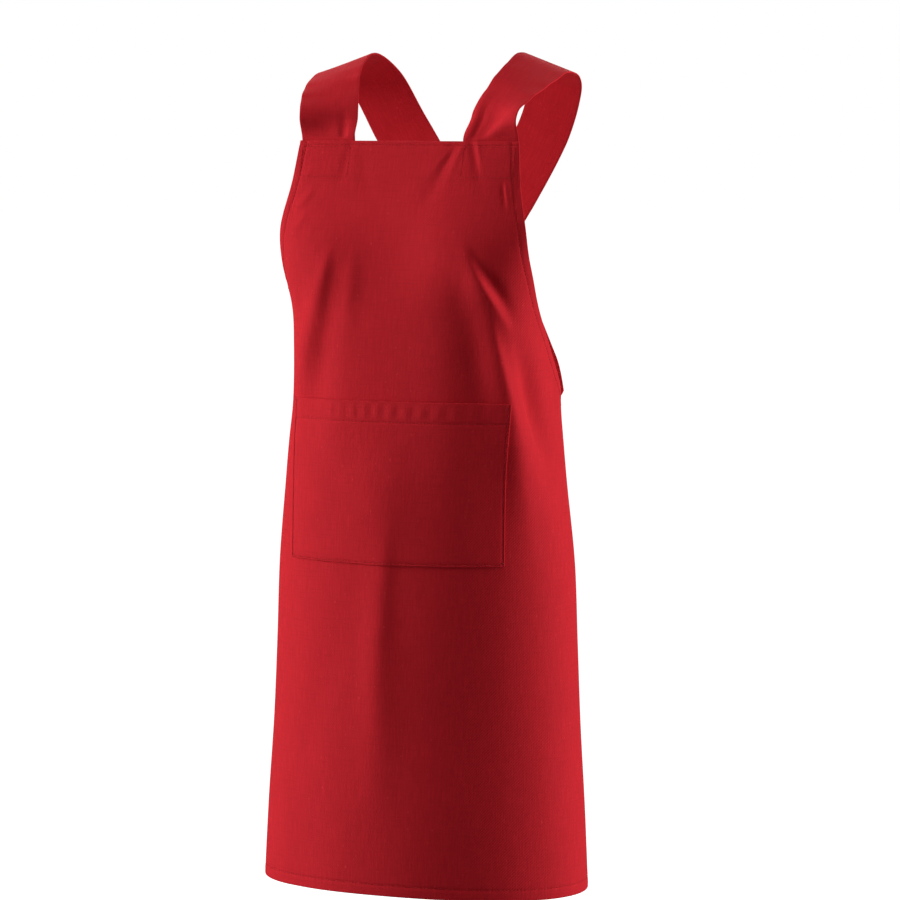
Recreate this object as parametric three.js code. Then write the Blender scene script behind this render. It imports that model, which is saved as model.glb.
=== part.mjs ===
// A cross back apron in the form it takes when worn: a bib and skirt cut in one, a patch pocket, and
// two broad straps that pass over the shoulders, cross behind and end at the opposite back corner.
// Millimetres, +Z up, the front faces -Y and the wearer's left is +X. The origin lies midway
// between the two straps, at the height where they bear on the shoulders.

import * as THREE from "three";

// The cloth and its seams.
const cloth = 1.2; // one layer of twill
const strapCloth = 1.8; // a strap is two layers, turned and pressed
const seamGap = 0.6; // clearance between layers that are sewn together
const foldHeight = 10; // the tallest ridge in the table of folds
const foldWidth = 40; // the broadest ridge in the table of folds

// The bib and skirt.
const bibTopDrop = 73; // from the shoulder line down to the bib's top edge
const bodyLength = 734; // from the bib's top edge down to the hem at the centre front
const bibWidth = 233;
const armholeDepth = 295; // from the bib's top edge down to the back corner
const backOpening = 148; // the gap that is left open behind
const hemSideDrop = 4; // the hem hangs this much lower at the sides than in front
const bibHem = 38;
const armholeHem = 9;
const skirtHem = 12;
const backHem = 12;

// The form that the cloth is worn over.
const hemHalfWidth = 169;
const frontReach = 166; // how far the hem's centre front lies before the shoulder line
const backReach = 62; // how far the hem's centre back lies behind it

// The pocket.
const pocketWidth = 238;
const pocketDepth = 158;
const pocketDrop = 252.5; // from the bib's top edge down to the pocket's mouth
const pocketHem = 20;
const pocketEase = 1.2; // how much further the middle of its mouth stands off the skirt

// The straps.
const strapWidth = 58;
const strapInsert = 38; // the length of a strap end that is sewn behind the cloth
const shoulderHalfSpan = 106; // from the centre to the middle of a strap on the shoulder
const bladeReach = 76; // how far the straps' crossing lies behind the shoulder line
const strapInset = 1; // from the cloth's edge to the edge of a strap that is sewn inside it
const crossingGap = 2.2; // between the two straps where they cross
const seamBlend = 36; // the way over which a sewn end eases into the free strap
const tuckHeight = 6; // the tuck that takes in the strap above the bib
const tuckLength = 62;

const red = new THREE.MeshStandardMaterial({ color: 0xa8141f, roughness: 0.85, metalness: 0 });

// The worn form from the shoulders down. Drop is a share of the height from the shoulders to the hem,
// half_width of hemHalfWidth, front and side of frontReach, back of backReach. Square is the exponent
// of the outline: 2 is an ellipse and more is boxier.
const sections = [
  { drop: 0.09, half_width: 0.9, front: 0.57, side: 0.12, back: 0.65, square: 7.0 },
  { drop: 0.142, half_width: 0.9, front: 0.65, side: 0.133, back: 0.73, square: 6.0 },
  { drop: 0.192, half_width: 0.885, front: 0.729, side: 0.145, back: 0.81, square: 5.3 },
  { drop: 0.241, half_width: 0.84, front: 0.765, side: 0.17, back: 0.81, square: 4.2 },
  { drop: 0.291, half_width: 0.79, front: 0.79, side: 0.193, back: 0.77, square: 3.5 },
  { drop: 0.34, half_width: 0.775, front: 0.815, side: 0.23, back: 0.72, square: 3.2 },
  { drop: 0.408, half_width: 0.776, front: 0.85, side: 0.275, back: 0.7, square: 2.9 },
  { drop: 0.458, half_width: 0.805, front: 0.87, side: 0.295, back: 0.71, square: 2.7 },
  { drop: 0.507, half_width: 0.84, front: 0.89, side: 0.3, back: 0.76, square: 2.4 },
  { drop: 0.606, half_width: 0.9, front: 0.91, side: 0.29, back: 0.84, square: 2.15 },
  { drop: 0.705, half_width: 0.924, front: 0.928, side: 0.29, back: 0.87, square: 2.05 },
  { drop: 0.804, half_width: 0.947, front: 0.95, side: 0.295, back: 0.9, square: 2.0 },
  { drop: 0.903, half_width: 0.977, front: 0.98, side: 0.305, back: 0.94, square: 2.0 },
  { drop: 1.0, half_width: 1.0, front: 1.0, side: 0.315, back: 1.0, square: 2.0 },
];

// The armhole's edge, from the bib's corner to the back corner: out is a share of the way round
// from one to the other, down a share of armholeDepth.
const armhole = [
  { down: 0.0, out: 0.0 },
  { down: 0.14, out: 0.028 },
  { down: 0.28, out: 0.083 },
  { down: 0.41, out: 0.12 },
  { down: 0.55, out: 0.21 },
  { down: 0.685, out: 0.37 },
  { down: 0.8, out: 0.53 },
  { down: 0.91, out: 0.735 },
  { down: 1.0, out: 1.0 },
];

// Ridges (and, with a minus sign, valleys) that run from one end to the other. Around is a share of
// half the bib's width to the wearer's left, drop a share of bodyLength below the bib's top edge,
// width and height are shares of foldWidth and foldHeight.
const folds = [
  { name: "left_bust", around: [0.74, 0.74], drop: [0.08, 0.24], width: 1.1, height: 0.5 },
  { name: "right_bust", around: [-0.74, -0.74], drop: [0.08, 0.24], width: 1.1, height: 0.5 },
  { name: "left_bust_to_hip", around: [0.8, 1.42], drop: [0.15, 0.56], width: 0.5, height: 0.75 },
  { name: "under_left_bust", around: [0.66, 0.86], drop: [0.15, 0.42], width: 0.55, height: -0.4 },
  { name: "right_bust_to_waist", around: [-0.74, -0.98], drop: [0.15, 0.38], width: 0.4, height: 0.5 },
  { name: "under_right_bust", around: [-0.6, -0.72], drop: [0.16, 0.38], width: 0.4, height: -0.25 },
  { name: "front_crease", around: [-0.02, -0.06], drop: [0.5, 0.95], width: 0.5, height: 0.35 },
  { name: "left_strap_pull", around: [0.5, 0.14], drop: [-0.02, 0.12], width: 0.2, height: -0.22 },
  { name: "right_strap_pull", around: [-0.5, -0.22], drop: [-0.02, 0.1], width: 0.2, height: -0.16 },
];

// A strap's middle line from the bib to the shoulder. Across is a share of shoulderHalfSpan, before
// one of the bib's own reach at its top edge and down one of bibTopDrop. Turn and slope say how far
// the strap's outer edge lies forward and down of its inner edge, in degrees.
const strapFront = [
  { name: "chest", across: 0.837, before: 0.896, down: 0.592, turn: 20, slope: 0 },
  { name: "collarbone", across: 0.899, before: 0.719, down: 0.373, turn: 16, slope: 7 },
  { name: "shoulder_front", across: 0.952, before: 0.53, down: 0.2, turn: 11, slope: 14 },
  { name: "shoulder_rise", across: 0.99, before: 0.307, down: 0.06, turn: 9, slope: 18 },
  { name: "shoulder", across: 1.0, before: 0.028, down: -0.05, turn: 7, slope: 21 },
];

// The line goes on from the shoulder to the opposite back corner, where behind is a share of
// bladeReach and down one of the height from the shoulders to that corner.
const strapBack = [
  { name: "shoulder_back", across: 1.0, behind: 0.36, down: 0.0, turn: 4, slope: 21 },
  { name: "blade_top", across: 0.92, behind: 0.7, down: 0.048, turn: 4, slope: 17 },
  { name: "blade", across: 0.74, behind: 0.92, down: 0.169, turn: 8, slope: 6 },
  { name: "above_crossing", across: 0.38, behind: 0.99, down: 0.341, turn: 3, slope: 0 },
  { name: "crossing", across: 0.0, behind: 1.0, down: 0.506, turn: 0, slope: 0 },
  { name: "below_crossing", across: -0.36, behind: 0.96, down: 0.665, turn: -3, slope: 0 },
  { name: "above_seam", across: -0.66, behind: 0.8, down: 0.817, turn: -14, slope: 0 },
];

// The grids that the solids are made on.
const bodyRows = 42;
const bodyColumns = 42;
const cornerRows = 25; // rows of the bib and skirt above the back corner
const rowCrowding = 0.25; // how much closer they lie at the back corner
const pocketRows = 10;
const pocketColumns = 16;
const strapRows = 40;
const strapColumns = 5;
const sewnRows = 3; // rows of a strap's end that is sewn inside the cloth

const lerp = THREE.MathUtils.lerp;
const clamp = THREE.MathUtils.clamp;
const rad = THREE.MathUtils.degToRad;
const smooth = (t) => THREE.MathUtils.smoothstep(t, 0, 1);

// The tuck's place and breadth across the strap, as shares of its width.
const tuckPlace = 0.22;
const tuckBreadth = 0.16;

// One column of a table at any value of its first column, on a smooth curve through the rows.
function readTable(table, by, column, at) {
  const last = table.length - 1;
  let i = 0;
  while (i < last - 1 && at > table[i + 1][by]) i++;
  const slopeAt = (k) => {
    const before = table[Math.max(k - 1, 0)];
    const after = table[Math.min(k + 1, last)];
    return (after[column] - before[column]) / (after[by] - before[by]);
  };
  const span = table[i + 1][by] - table[i][by];
  const t = clamp((at - table[i][by]) / span, 0, 1);
  const rise = (2 * t - 3) * t * t + 1;
  return (
    rise * table[i][column] +
    (1 - rise) * table[i + 1][column] +
    (t * (1 - t) * (1 - t) * slopeAt(i) - t * t * (1 - t) * slopeAt(i + 1)) * span
  );
}

// The outline of the worn form at a drop below the shoulders, walked on the wearer's left from the
// centre front to the centre back, with the way walked so far and the direction that faces out.
const fullDrop = bibTopDrop + bodyLength;
const outlineSteps = 120;
const outlines = new Map();
function outlineAt(drop) {
  if (outlines.has(drop)) return outlines.get(drop);
  const share = (column) => readTable(sections, "drop", column, drop / fullDrop);
  const halfWidth = hemHalfWidth * share("half_width");
  const side = -frontReach * share("side");
  const front = side + frontReach * share("front");
  const back = backReach * share("back") - side;
  const square = share("square");
  const points = [];
  for (let i = 0; i <= outlineSteps; i++) {
    const angle = Math.PI * (0.5 - i / outlineSteps);
    const across = Math.abs(Math.cos(angle));
    const along = Math.abs(Math.sin(angle));
    const reach = i < outlineSteps / 2 ? front : back;
    const radius = ((across / halfWidth) ** square + (along / reach) ** square) ** (-1 / square);
    points.push({ x: radius * across, y: side - Math.sign(Math.sin(angle)) * radius * along });
  }
  let walked = 0;
  points.forEach((point, i) => {
    const before = points[Math.max(i - 1, 0)];
    const after = points[Math.min(i + 1, outlineSteps)];
    const step = Math.hypot(after.x - before.x, after.y - before.y);
    const ahead = i === 0 || i === outlineSteps;
    point.outX = ahead ? 0 : (after.y - before.y) / step;
    point.outY = ahead ? Math.sign(i - 1) : (before.x - after.x) / step;
    walked += i ? Math.hypot(point.x - before.x, point.y - before.y) : 0;
    point.walked = walked;
  });
  outlines.set(drop, points);
  return points;
}

// Half the way round the worn form at a drop.
const halfRound = (drop) => outlineAt(drop).at(-1).walked;

// The height of the folds at a place on the cloth.
function foldsAt(around, drop) {
  let height = 0;
  for (const fold of folds) {
    const start = [(fold.around[0] * bibWidth) / 2, bibTopDrop + fold.drop[0] * bodyLength];
    const end = [(fold.around[1] * bibWidth) / 2, bibTopDrop + fold.drop[1] * bodyLength];
    const run = [end[0] - start[0], end[1] - start[1]];
    const length = Math.hypot(...run);
    const from = [around - start[0], drop - start[1]];
    const along = (from[0] * run[0] + from[1] * run[1]) / (length * length);
    const off = (from[0] * run[1] - from[1] * run[0]) / length;
    const swell = Math.sin(Math.PI * clamp(along, 0, 1)) ** 2;
    const width = fold.width * foldWidth;
    height += fold.height * foldHeight * swell * Math.exp(-((off / width) ** 2));
  }
  return height;
}

// The cloth's outer face: around is the way walked from the centre front, positive to the
// wearer's left, and drop the depth below the shoulders.
function clothPoint(around, drop) {
  const points = outlineAt(drop);
  const way = Math.min(Math.abs(around), points.at(-1).walked);
  let i = 1;
  while (i < outlineSteps && points[i].walked < way) i++;
  const [a, b] = [points[i - 1], points[i]];
  const t = (way - a.walked) / (b.walked - a.walked);
  const side = Math.sign(around) || 1;
  const lift = foldsAt(around, drop);
  const x = lerp(a.x, b.x, t) + lift * lerp(a.outX, b.outX, t);
  const y = lerp(a.y, b.y, t) + lift * lerp(a.outY, b.outY, t);
  return new THREE.Vector3(side * x, y, -drop);
}

// The direction that the cloth's outer face looks.
function clothNormal(around, drop) {
  const step = 2;
  const down = clothPoint(around, drop + step).sub(clothPoint(around, drop - step));
  const left = clothPoint(around + step, drop).sub(clothPoint(around - step, drop));
  return down.cross(left).normalize();
}

// A place on a layer of cloth that lies lift outside the body's outer face.
const onCloth = (around, drop, lift) =>
  clothPoint(around, drop).addScaledVector(clothNormal(around, drop), lift);

// Half the cloth's width at a drop: the bib's edge, the armhole's curve and the back edge.
const cornerDrop = bibTopDrop + armholeDepth;
function edgeAt(drop) {
  if (drop >= cornerDrop) return halfRound(drop) - backOpening / 2;
  const out = readTable(armhole, "down", "out", (drop - bibTopDrop) / armholeDepth);
  return lerp(bibWidth / 2, halfRound(cornerDrop) - backOpening / 2, clamp(out, 0, 1));
}

// From 0 at the centre front to 1 at the sides and behind.
const sidewards = (around) => smooth((2 * Math.abs(around)) / halfRound(fullDrop));

// A closed solid from an outer and an inner grid of points. Row and column run from 0 to 1.
function solidOf(rows, columns, pointAt) {
  const points = [];
  const indices = [];
  const [outer, inner] = [0, 1].map((layer) => {
    const start = points.length;
    for (let r = 0; r <= rows; r++)
      for (let c = 0; c <= columns; c++) points.push(pointAt(r / rows, c / columns, layer));
    return (r, c) => start + r * (columns + 1) + c;
  });
  // Four corners in order make two triangles, parted along the shorter diagonal.
  const quad = (a, b, c, d) => {
    if (points[a].distanceTo(points[c]) <= points[b].distanceTo(points[d]))
      indices.push(a, b, c, a, c, d);
    else indices.push(a, b, d, b, c, d);
  };
  for (let r = 0; r < rows; r++)
    for (let c = 0; c < columns; c++) {
      quad(outer(r, c), outer(r + 1, c), outer(r + 1, c + 1), outer(r, c + 1));
      quad(inner(r, c), inner(r, c + 1), inner(r + 1, c + 1), inner(r + 1, c));
    }
  for (let c = 0; c < columns; c++) {
    quad(outer(0, c), outer(0, c + 1), inner(0, c + 1), inner(0, c));
    quad(outer(rows, c + 1), outer(rows, c), inner(rows, c), inner(rows, c + 1));
  }
  for (let r = 0; r < rows; r++) {
    quad(outer(r + 1, 0), outer(r, 0), inner(r, 0), inner(r + 1, 0));
    quad(outer(r, columns), outer(r + 1, columns), inner(r + 1, columns), inner(r, columns));
  }
  const geometry = new THREE.BufferGeometry();
  const positions = points.flatMap((point) => point.toArray());
  geometry.setAttribute("position", new THREE.Float32BufferAttribute(positions, 3));
  geometry.setIndex(facesOut(points, indices));
  geometry.computeVertexNormals();
  return geometry;
}

// The faces, turned round if they would enclose a negative volume.
function facesOut(points, indices) {
  let volume = 0;
  for (let i = 0; i < indices.length; i += 3) {
    const [a, b, c] = [0, 1, 2].map((k) => points[indices[i + k]]);
    volume += a.dot(b.clone().cross(c));
  }
  if (volume > 0) return indices;
  return indices.map((_, i) => indices[i - (i % 3) + [0, 2, 1][i % 3]]);
}

const apron = new THREE.Group();
function add(name, geometry) {
  const mesh = new THREE.Mesh(geometry, red);
  mesh.name = name;
  apron.add(mesh);
}

// The drop of a row of the bib and skirt, counted from 0 to 1. Rows lie closer together where the
// armhole sweeps back.
const rowDrop = (share) => {
  const corner = cornerRows / bodyRows;
  const above = Math.min(share / corner, 1);
  const below = Math.max((share - corner) / (1 - corner), 0);
  const crowded = above * (1 + rowCrowding - rowCrowding * above);
  return bibTopDrop + armholeDepth * crowded + (fullDrop - cornerDrop) * below;
};

// The drop of a row at a place around the body: rows near the hem follow it down at the sides.
const followHem = (around, drop) => {
  const share = smooth((drop - cornerDrop) / (fullDrop - cornerDrop));
  return drop + hemSideDrop * sidewards(around) * share;
};

// The bib and skirt, cut in one piece.
function bibAndSkirt() {
  return solidOf(bodyRows, bodyColumns, (r, c, layer) => {
    const drop = rowDrop(r);
    const around = (2 * c - 1) * edgeAt(drop);
    return onCloth(around, followHem(around, drop), layer ? -cloth : 0);
  });
}

// How far the faces of a turned hem lie inside the cloth's outer face.
const hemLift = (layer) => -(cloth + seamGap) - (layer ? cloth : 0);

// The bib's top edge is turned in and stitched across.
function bibTopHem() {
  const inset = armholeHem + 2 * seamGap;
  return solidOf(2, bodyColumns, (r, c, layer) => {
    const drop = bibTopDrop + seamGap + r * bibHem;
    return onCloth((2 * c - 1) * (edgeAt(drop) - inset), drop, hemLift(layer));
  });
}

// A narrow hem along an armhole, from the bib's top edge to the back corner.
function armholeEdge(side) {
  const rows = cornerRows - 1;
  return solidOf(rows, 1, (r, c, layer) => {
    const drop = rowDrop((r * rows) / bodyRows) + seamGap;
    const sweep = (edgeAt(drop + 1) - edgeAt(drop - 1)) / 2;
    const width = armholeHem * Math.hypot(1, sweep);
    return onCloth(side * (edgeAt(drop) - (1 - c) * width), drop, hemLift(layer));
  });
}

// The skirt's bottom hem, between the two back hems, in the columns of the skirt itself.
function skirtEdge() {
  const inset = backHem + 2 * seamGap;
  return solidOf(1, bodyColumns, (r, c, layer) => {
    const drop = fullDrop - (1 - r) * skirtHem - seamGap;
    const end = edgeAt(drop) - inset;
    const around = clamp((2 * c - 1) * edgeAt(drop), -end, end);
    return onCloth(around, followHem(around, drop), hemLift(layer));
  });
}

// The hem up one back edge.
function backEdge(side) {
  const top = cornerDrop + armholeHem / 2;
  return solidOf(bodyRows - cornerRows, 1, (r, c, layer) => {
    const drop = lerp(top, fullDrop - seamGap, r);
    const around = side * (edgeAt(drop) - (1 - c) * backHem);
    return onCloth(around, followHem(around, drop), hemLift(layer));
  });
}

// How far the pocket cloth stands off the skirt: at its mouth by the turned hem, below it less.
function pocketLift(down, across) {
  const mouth = cloth + 2 * seamGap + pocketEase * Math.sin(Math.PI * across);
  return lerp(mouth, seamGap, smooth((down - pocketHem) / (pocketDepth - pocketHem)));
}

function pocket() {
  return solidOf(pocketRows, pocketColumns, (r, c, layer) => {
    const down = r * pocketDepth;
    const lift = pocketLift(down, c) + (layer ? 0 : cloth);
    return onCloth((c - 0.5) * pocketWidth, bibTopDrop + pocketDrop + down, lift);
  });
}

// The pocket's mouth is turned in, and lies between the pocket and the skirt.
function pocketMouth() {
  const width = pocketWidth - 2 * seamGap;
  return solidOf(1, pocketColumns, (r, c, layer) => {
    const down = seamGap + r * (pocketHem - seamGap);
    const lift = pocketLift(down, c) - seamGap - (layer ? cloth : 0);
    return onCloth((c - 0.5) * width, bibTopDrop + pocketDrop + down, lift);
  });
}

// Where the two ends of a strap are sewn. Middle and drop place the middle of the strap at the
// cloth's edge, and slant is how far it leans from upright there, square to the armhole's edge.
const lastStretch = armhole.at(-1).down - armhole.at(-2).down;
const seamTop = cornerDrop - lastStretch * armholeDepth;
const seamSlant = Math.atan2(cornerDrop - seamTop, edgeAt(cornerDrop) - edgeAt(seamTop));
const seamHalf = strapWidth / 2 + strapInset;
const bibSeam = { middle: bibWidth / 2 - seamHalf, drop: bibTopDrop, slant: 0 };
const backSeam = {
  middle: edgeAt(cornerDrop) - Math.cos(seamSlant) * seamHalf,
  drop: cornerDrop - Math.sin(seamSlant) * seamHalf,
  slant: seamSlant,
};

// A place on a strap end that is sewn inside the cloth and its hems: inside is the way past the
// cloth's edge, offset the way from the strap's middle towards the side of the cloth, and lift 0
// on the strap's outer face.
function sewnPoint(seam, side, inside, offset, lift) {
  const [sine, cosine] = [Math.sin(seam.slant), Math.cos(seam.slant)];
  const around = seam.middle - sine * inside + cosine * offset;
  const drop = seam.drop + cosine * inside + sine * offset;
  return onCloth(side * around, drop, lift - 2 * (cloth + seamGap));
}

// The stations of a strap between its two seams. The outer strap lies further back at the crossing.
const crossing = strapBack.find((row) => row.name === "crossing");
function strapStations(side) {
  const bibReach = -clothPoint(0, bibTopDrop).y;
  const stretch = side * (strapCloth + crossingGap) * 0.5;
  const front = strapFront.map((row) => ({
    ...row,
    y: -row.before * bibReach,
    z: -row.down * bibTopDrop,
  }));
  const back = strapBack.map((row) => ({
    ...row,
    y: row.behind * bladeReach + stretch * (1 - smooth(Math.abs(row.down - crossing.down) * 2)),
    z: -row.down * cornerDrop,
  }));
  return [...front, ...back];
}

// The strap's middle line, with one more point inside each seam to set how it leaves it. The
// stations' own rows are numbered from 0, so the seams are at -1 and at their count.
function strapLine(side, stations) {
  const along = stations.map((s) => new THREE.Vector3(side * s.across * shoulderHalfSpan, s.y, s.z));
  const start = [strapInsert / 2, 0].map((inside) => sewnPoint(bibSeam, side, inside, 0, 0));
  const end = [0, strapInsert / 2].map((inside) => sewnPoint(backSeam, -side, inside, 0, 0));
  const line = new THREE.CatmullRomCurve3([...start, ...along, ...end], false, "centripetal");
  const share = (row) => (row + 2) / (stations.length + 3);
  return { at: (row) => line.getPoint(share(row)), along: (row) => line.getTangent(share(row)) };
}

// The directions across the strap, towards its outer edge, and out of its face at a row.
function strapFrame(side, stations, line, row) {
  const last = stations.length - 1;
  const at = clamp(row, 0, last);
  const i = Math.min(Math.floor(at), last - 1);
  const between = (column) => rad(lerp(stations[i][column], stations[i + 1][column], smooth(at - i)));
  const [turn, slope] = [between("turn"), between("slope")];
  const along = line.along(row);
  const across = new THREE.Vector3(side * Math.cos(turn), -Math.sin(turn), -Math.sin(slope));
  across.addScaledVector(along, -across.dot(along)).normalize();
  return { across, face: across.clone().cross(along).multiplyScalar(side).normalize() };
}

// A strap: a band across the middle line, with a tuck that takes it in where it meets the bib.
function strap(side) {
  const stations = strapStations(side);
  const line = strapLine(side, stations);
  const freeRows = strapRows - 2 * sewnRows;
  return solidOf(strapRows, strapColumns, (r, c, layer) => {
    const lift = layer ? -strapCloth : 0;
    const offset = (c - 0.5) * strapWidth;
    const atBib = (inside) => sewnPoint(bibSeam, side, inside, offset, lift);
    const atBack = (inside) => sewnPoint(backSeam, -side, inside, -offset, lift);
    const fromBib = Math.round(r * strapRows) - sewnRows;
    if (fromBib <= 0) return atBib((-fromBib / sewnRows) * strapInsert);
    if (fromBib >= freeRows) return atBack(((fromBib - freeRows) / sewnRows) * strapInsert);
    const row = (fromBib / freeRows) * (stations.length + 1) - 1;
    const middle = line.at(row);
    const { across, face } = strapFrame(side, stations, line, row);
    const [past, before] = [-1, stations.length].map((seam) => middle.distanceTo(line.at(seam)));
    const [free, freeBehind] = [past, before].map((way) => smooth(way / seamBlend));
    const fade = free * (1 - smooth(past / tuckLength));
    const tuck = tuckHeight * fade * Math.exp(-(((c - tuckPlace) / tuckBreadth) ** 2));
    const point = middle.clone().addScaledVector(across, offset).addScaledVector(face, lift + tuck);
    return point.lerp(atBib(-past), 1 - free).lerp(atBack(-before), 1 - freeBehind);
  });
}

add("bib_and_skirt", bibAndSkirt());
add("bib_top_hem", bibTopHem());
add("skirt_hem", skirtEdge());
add("pocket", pocket());
add("pocket_mouth_hem", pocketMouth());
for (const [name, side] of [["left", 1], ["right", -1]]) {
  add(`${name}_armhole_hem`, armholeEdge(side));
  add(`${name}_back_hem`, backEdge(side));
  add(`${name}_strap`, strap(side));
}

export default apron;
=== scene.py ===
"""A red cross back apron in the form it takes when worn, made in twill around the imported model."""

import math

import bpy
import numpy as np
from mathutils import Euler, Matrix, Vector


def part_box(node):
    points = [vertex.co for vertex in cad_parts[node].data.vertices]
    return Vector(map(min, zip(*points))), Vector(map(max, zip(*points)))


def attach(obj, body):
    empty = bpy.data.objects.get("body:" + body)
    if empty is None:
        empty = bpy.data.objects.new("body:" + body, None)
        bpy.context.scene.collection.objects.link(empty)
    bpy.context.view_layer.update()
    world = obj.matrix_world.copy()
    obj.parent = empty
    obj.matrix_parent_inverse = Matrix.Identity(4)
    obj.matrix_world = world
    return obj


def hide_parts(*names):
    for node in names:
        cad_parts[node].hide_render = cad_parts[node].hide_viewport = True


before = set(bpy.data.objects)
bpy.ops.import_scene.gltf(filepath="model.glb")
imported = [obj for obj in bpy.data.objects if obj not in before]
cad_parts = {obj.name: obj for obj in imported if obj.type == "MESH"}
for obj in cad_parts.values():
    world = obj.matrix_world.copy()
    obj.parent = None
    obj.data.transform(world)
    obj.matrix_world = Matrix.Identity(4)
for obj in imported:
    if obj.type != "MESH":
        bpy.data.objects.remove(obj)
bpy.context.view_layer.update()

bl_info = {
    "name": "Cross back apron",
    "version": (1, 0, 0),
    "blender": (4, 5, 0),
    "location": "View3D > Sidebar > Apron",
    "description": "Makes a cross back apron in twill, with its hems, pocket, straps and stitching",
    "category": "Add Mesh",
}

MM = 0.001
BODY = "root"
PANEL_LOW, PANEL_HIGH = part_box("bib_and_skirt")
POCKET_LOW, POCKET_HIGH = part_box("pocket")

# How much lower the skirt's hem hangs at the sides than in front.
HEM_SIDE_DROP = 4 * MM

# Further from an edge, in metres, than any of its relief reaches.
FAR = 1.0

# What lies closer to an edge than this lies on it.
TINY = 1e-7


def to_half_millimetre(size):
    """A size that was measured on the frame, without the last digits of its mesh."""
    return round(size / (0.5 * MM)) * 0.5 * MM


def table(columns, *rows):
    """A short table with named columns, as one array for each column."""
    return {name: np.array([row[i] for row in rows]) for i, name in enumerate(columns.split())}


def rows_of(some_table, columns):
    """A table's rows, with only the columns that are named."""
    return zip(*(some_table[name] for name in columns.split()))


# The worn form from the shoulders down. Drop is a share of the height from the shoulders to the
# hem, half_width of the hem's half width, front and side of the front reach, back of the back
# reach. Square is the exponent of the outline: 2 is an ellipse and more is boxier.
SECTIONS = table(
    "drop half_width front side back square",
    (0.09, 0.9, 0.57, 0.12, 0.65, 7.0),
    (0.142, 0.9, 0.65, 0.133, 0.73, 6.0),
    (0.192, 0.885, 0.729, 0.145, 0.81, 5.3),
    (0.241, 0.84, 0.765, 0.17, 0.81, 4.2),
    (0.291, 0.79, 0.79, 0.193, 0.77, 3.5),
    (0.34, 0.775, 0.815, 0.23, 0.72, 3.2),
    (0.408, 0.776, 0.85, 0.275, 0.7, 2.9),
    (0.458, 0.805, 0.87, 0.295, 0.71, 2.7),
    (0.507, 0.84, 0.89, 0.3, 0.76, 2.4),
    (0.606, 0.9, 0.91, 0.29, 0.84, 2.15),
    (0.705, 0.924, 0.928, 0.29, 0.87, 2.05),
    (0.804, 0.947, 0.95, 0.295, 0.9, 2.0),
    (0.903, 0.977, 0.98, 0.305, 0.94, 2.0),
    (1.0, 1.0, 1.0, 0.315, 1.0, 2.0),
)

# The armhole's edge from the bib's corner to the back corner. Out is a share of the way round.
ARMHOLE = table(
    "down out",
    (0.0, 0.0),
    (0.14, 0.028),
    (0.28, 0.083),
    (0.41, 0.12),
    (0.55, 0.21),
    (0.685, 0.37),
    (0.8, 0.53),
    (0.91, 0.735),
    (1.0, 1.0),
)

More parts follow.
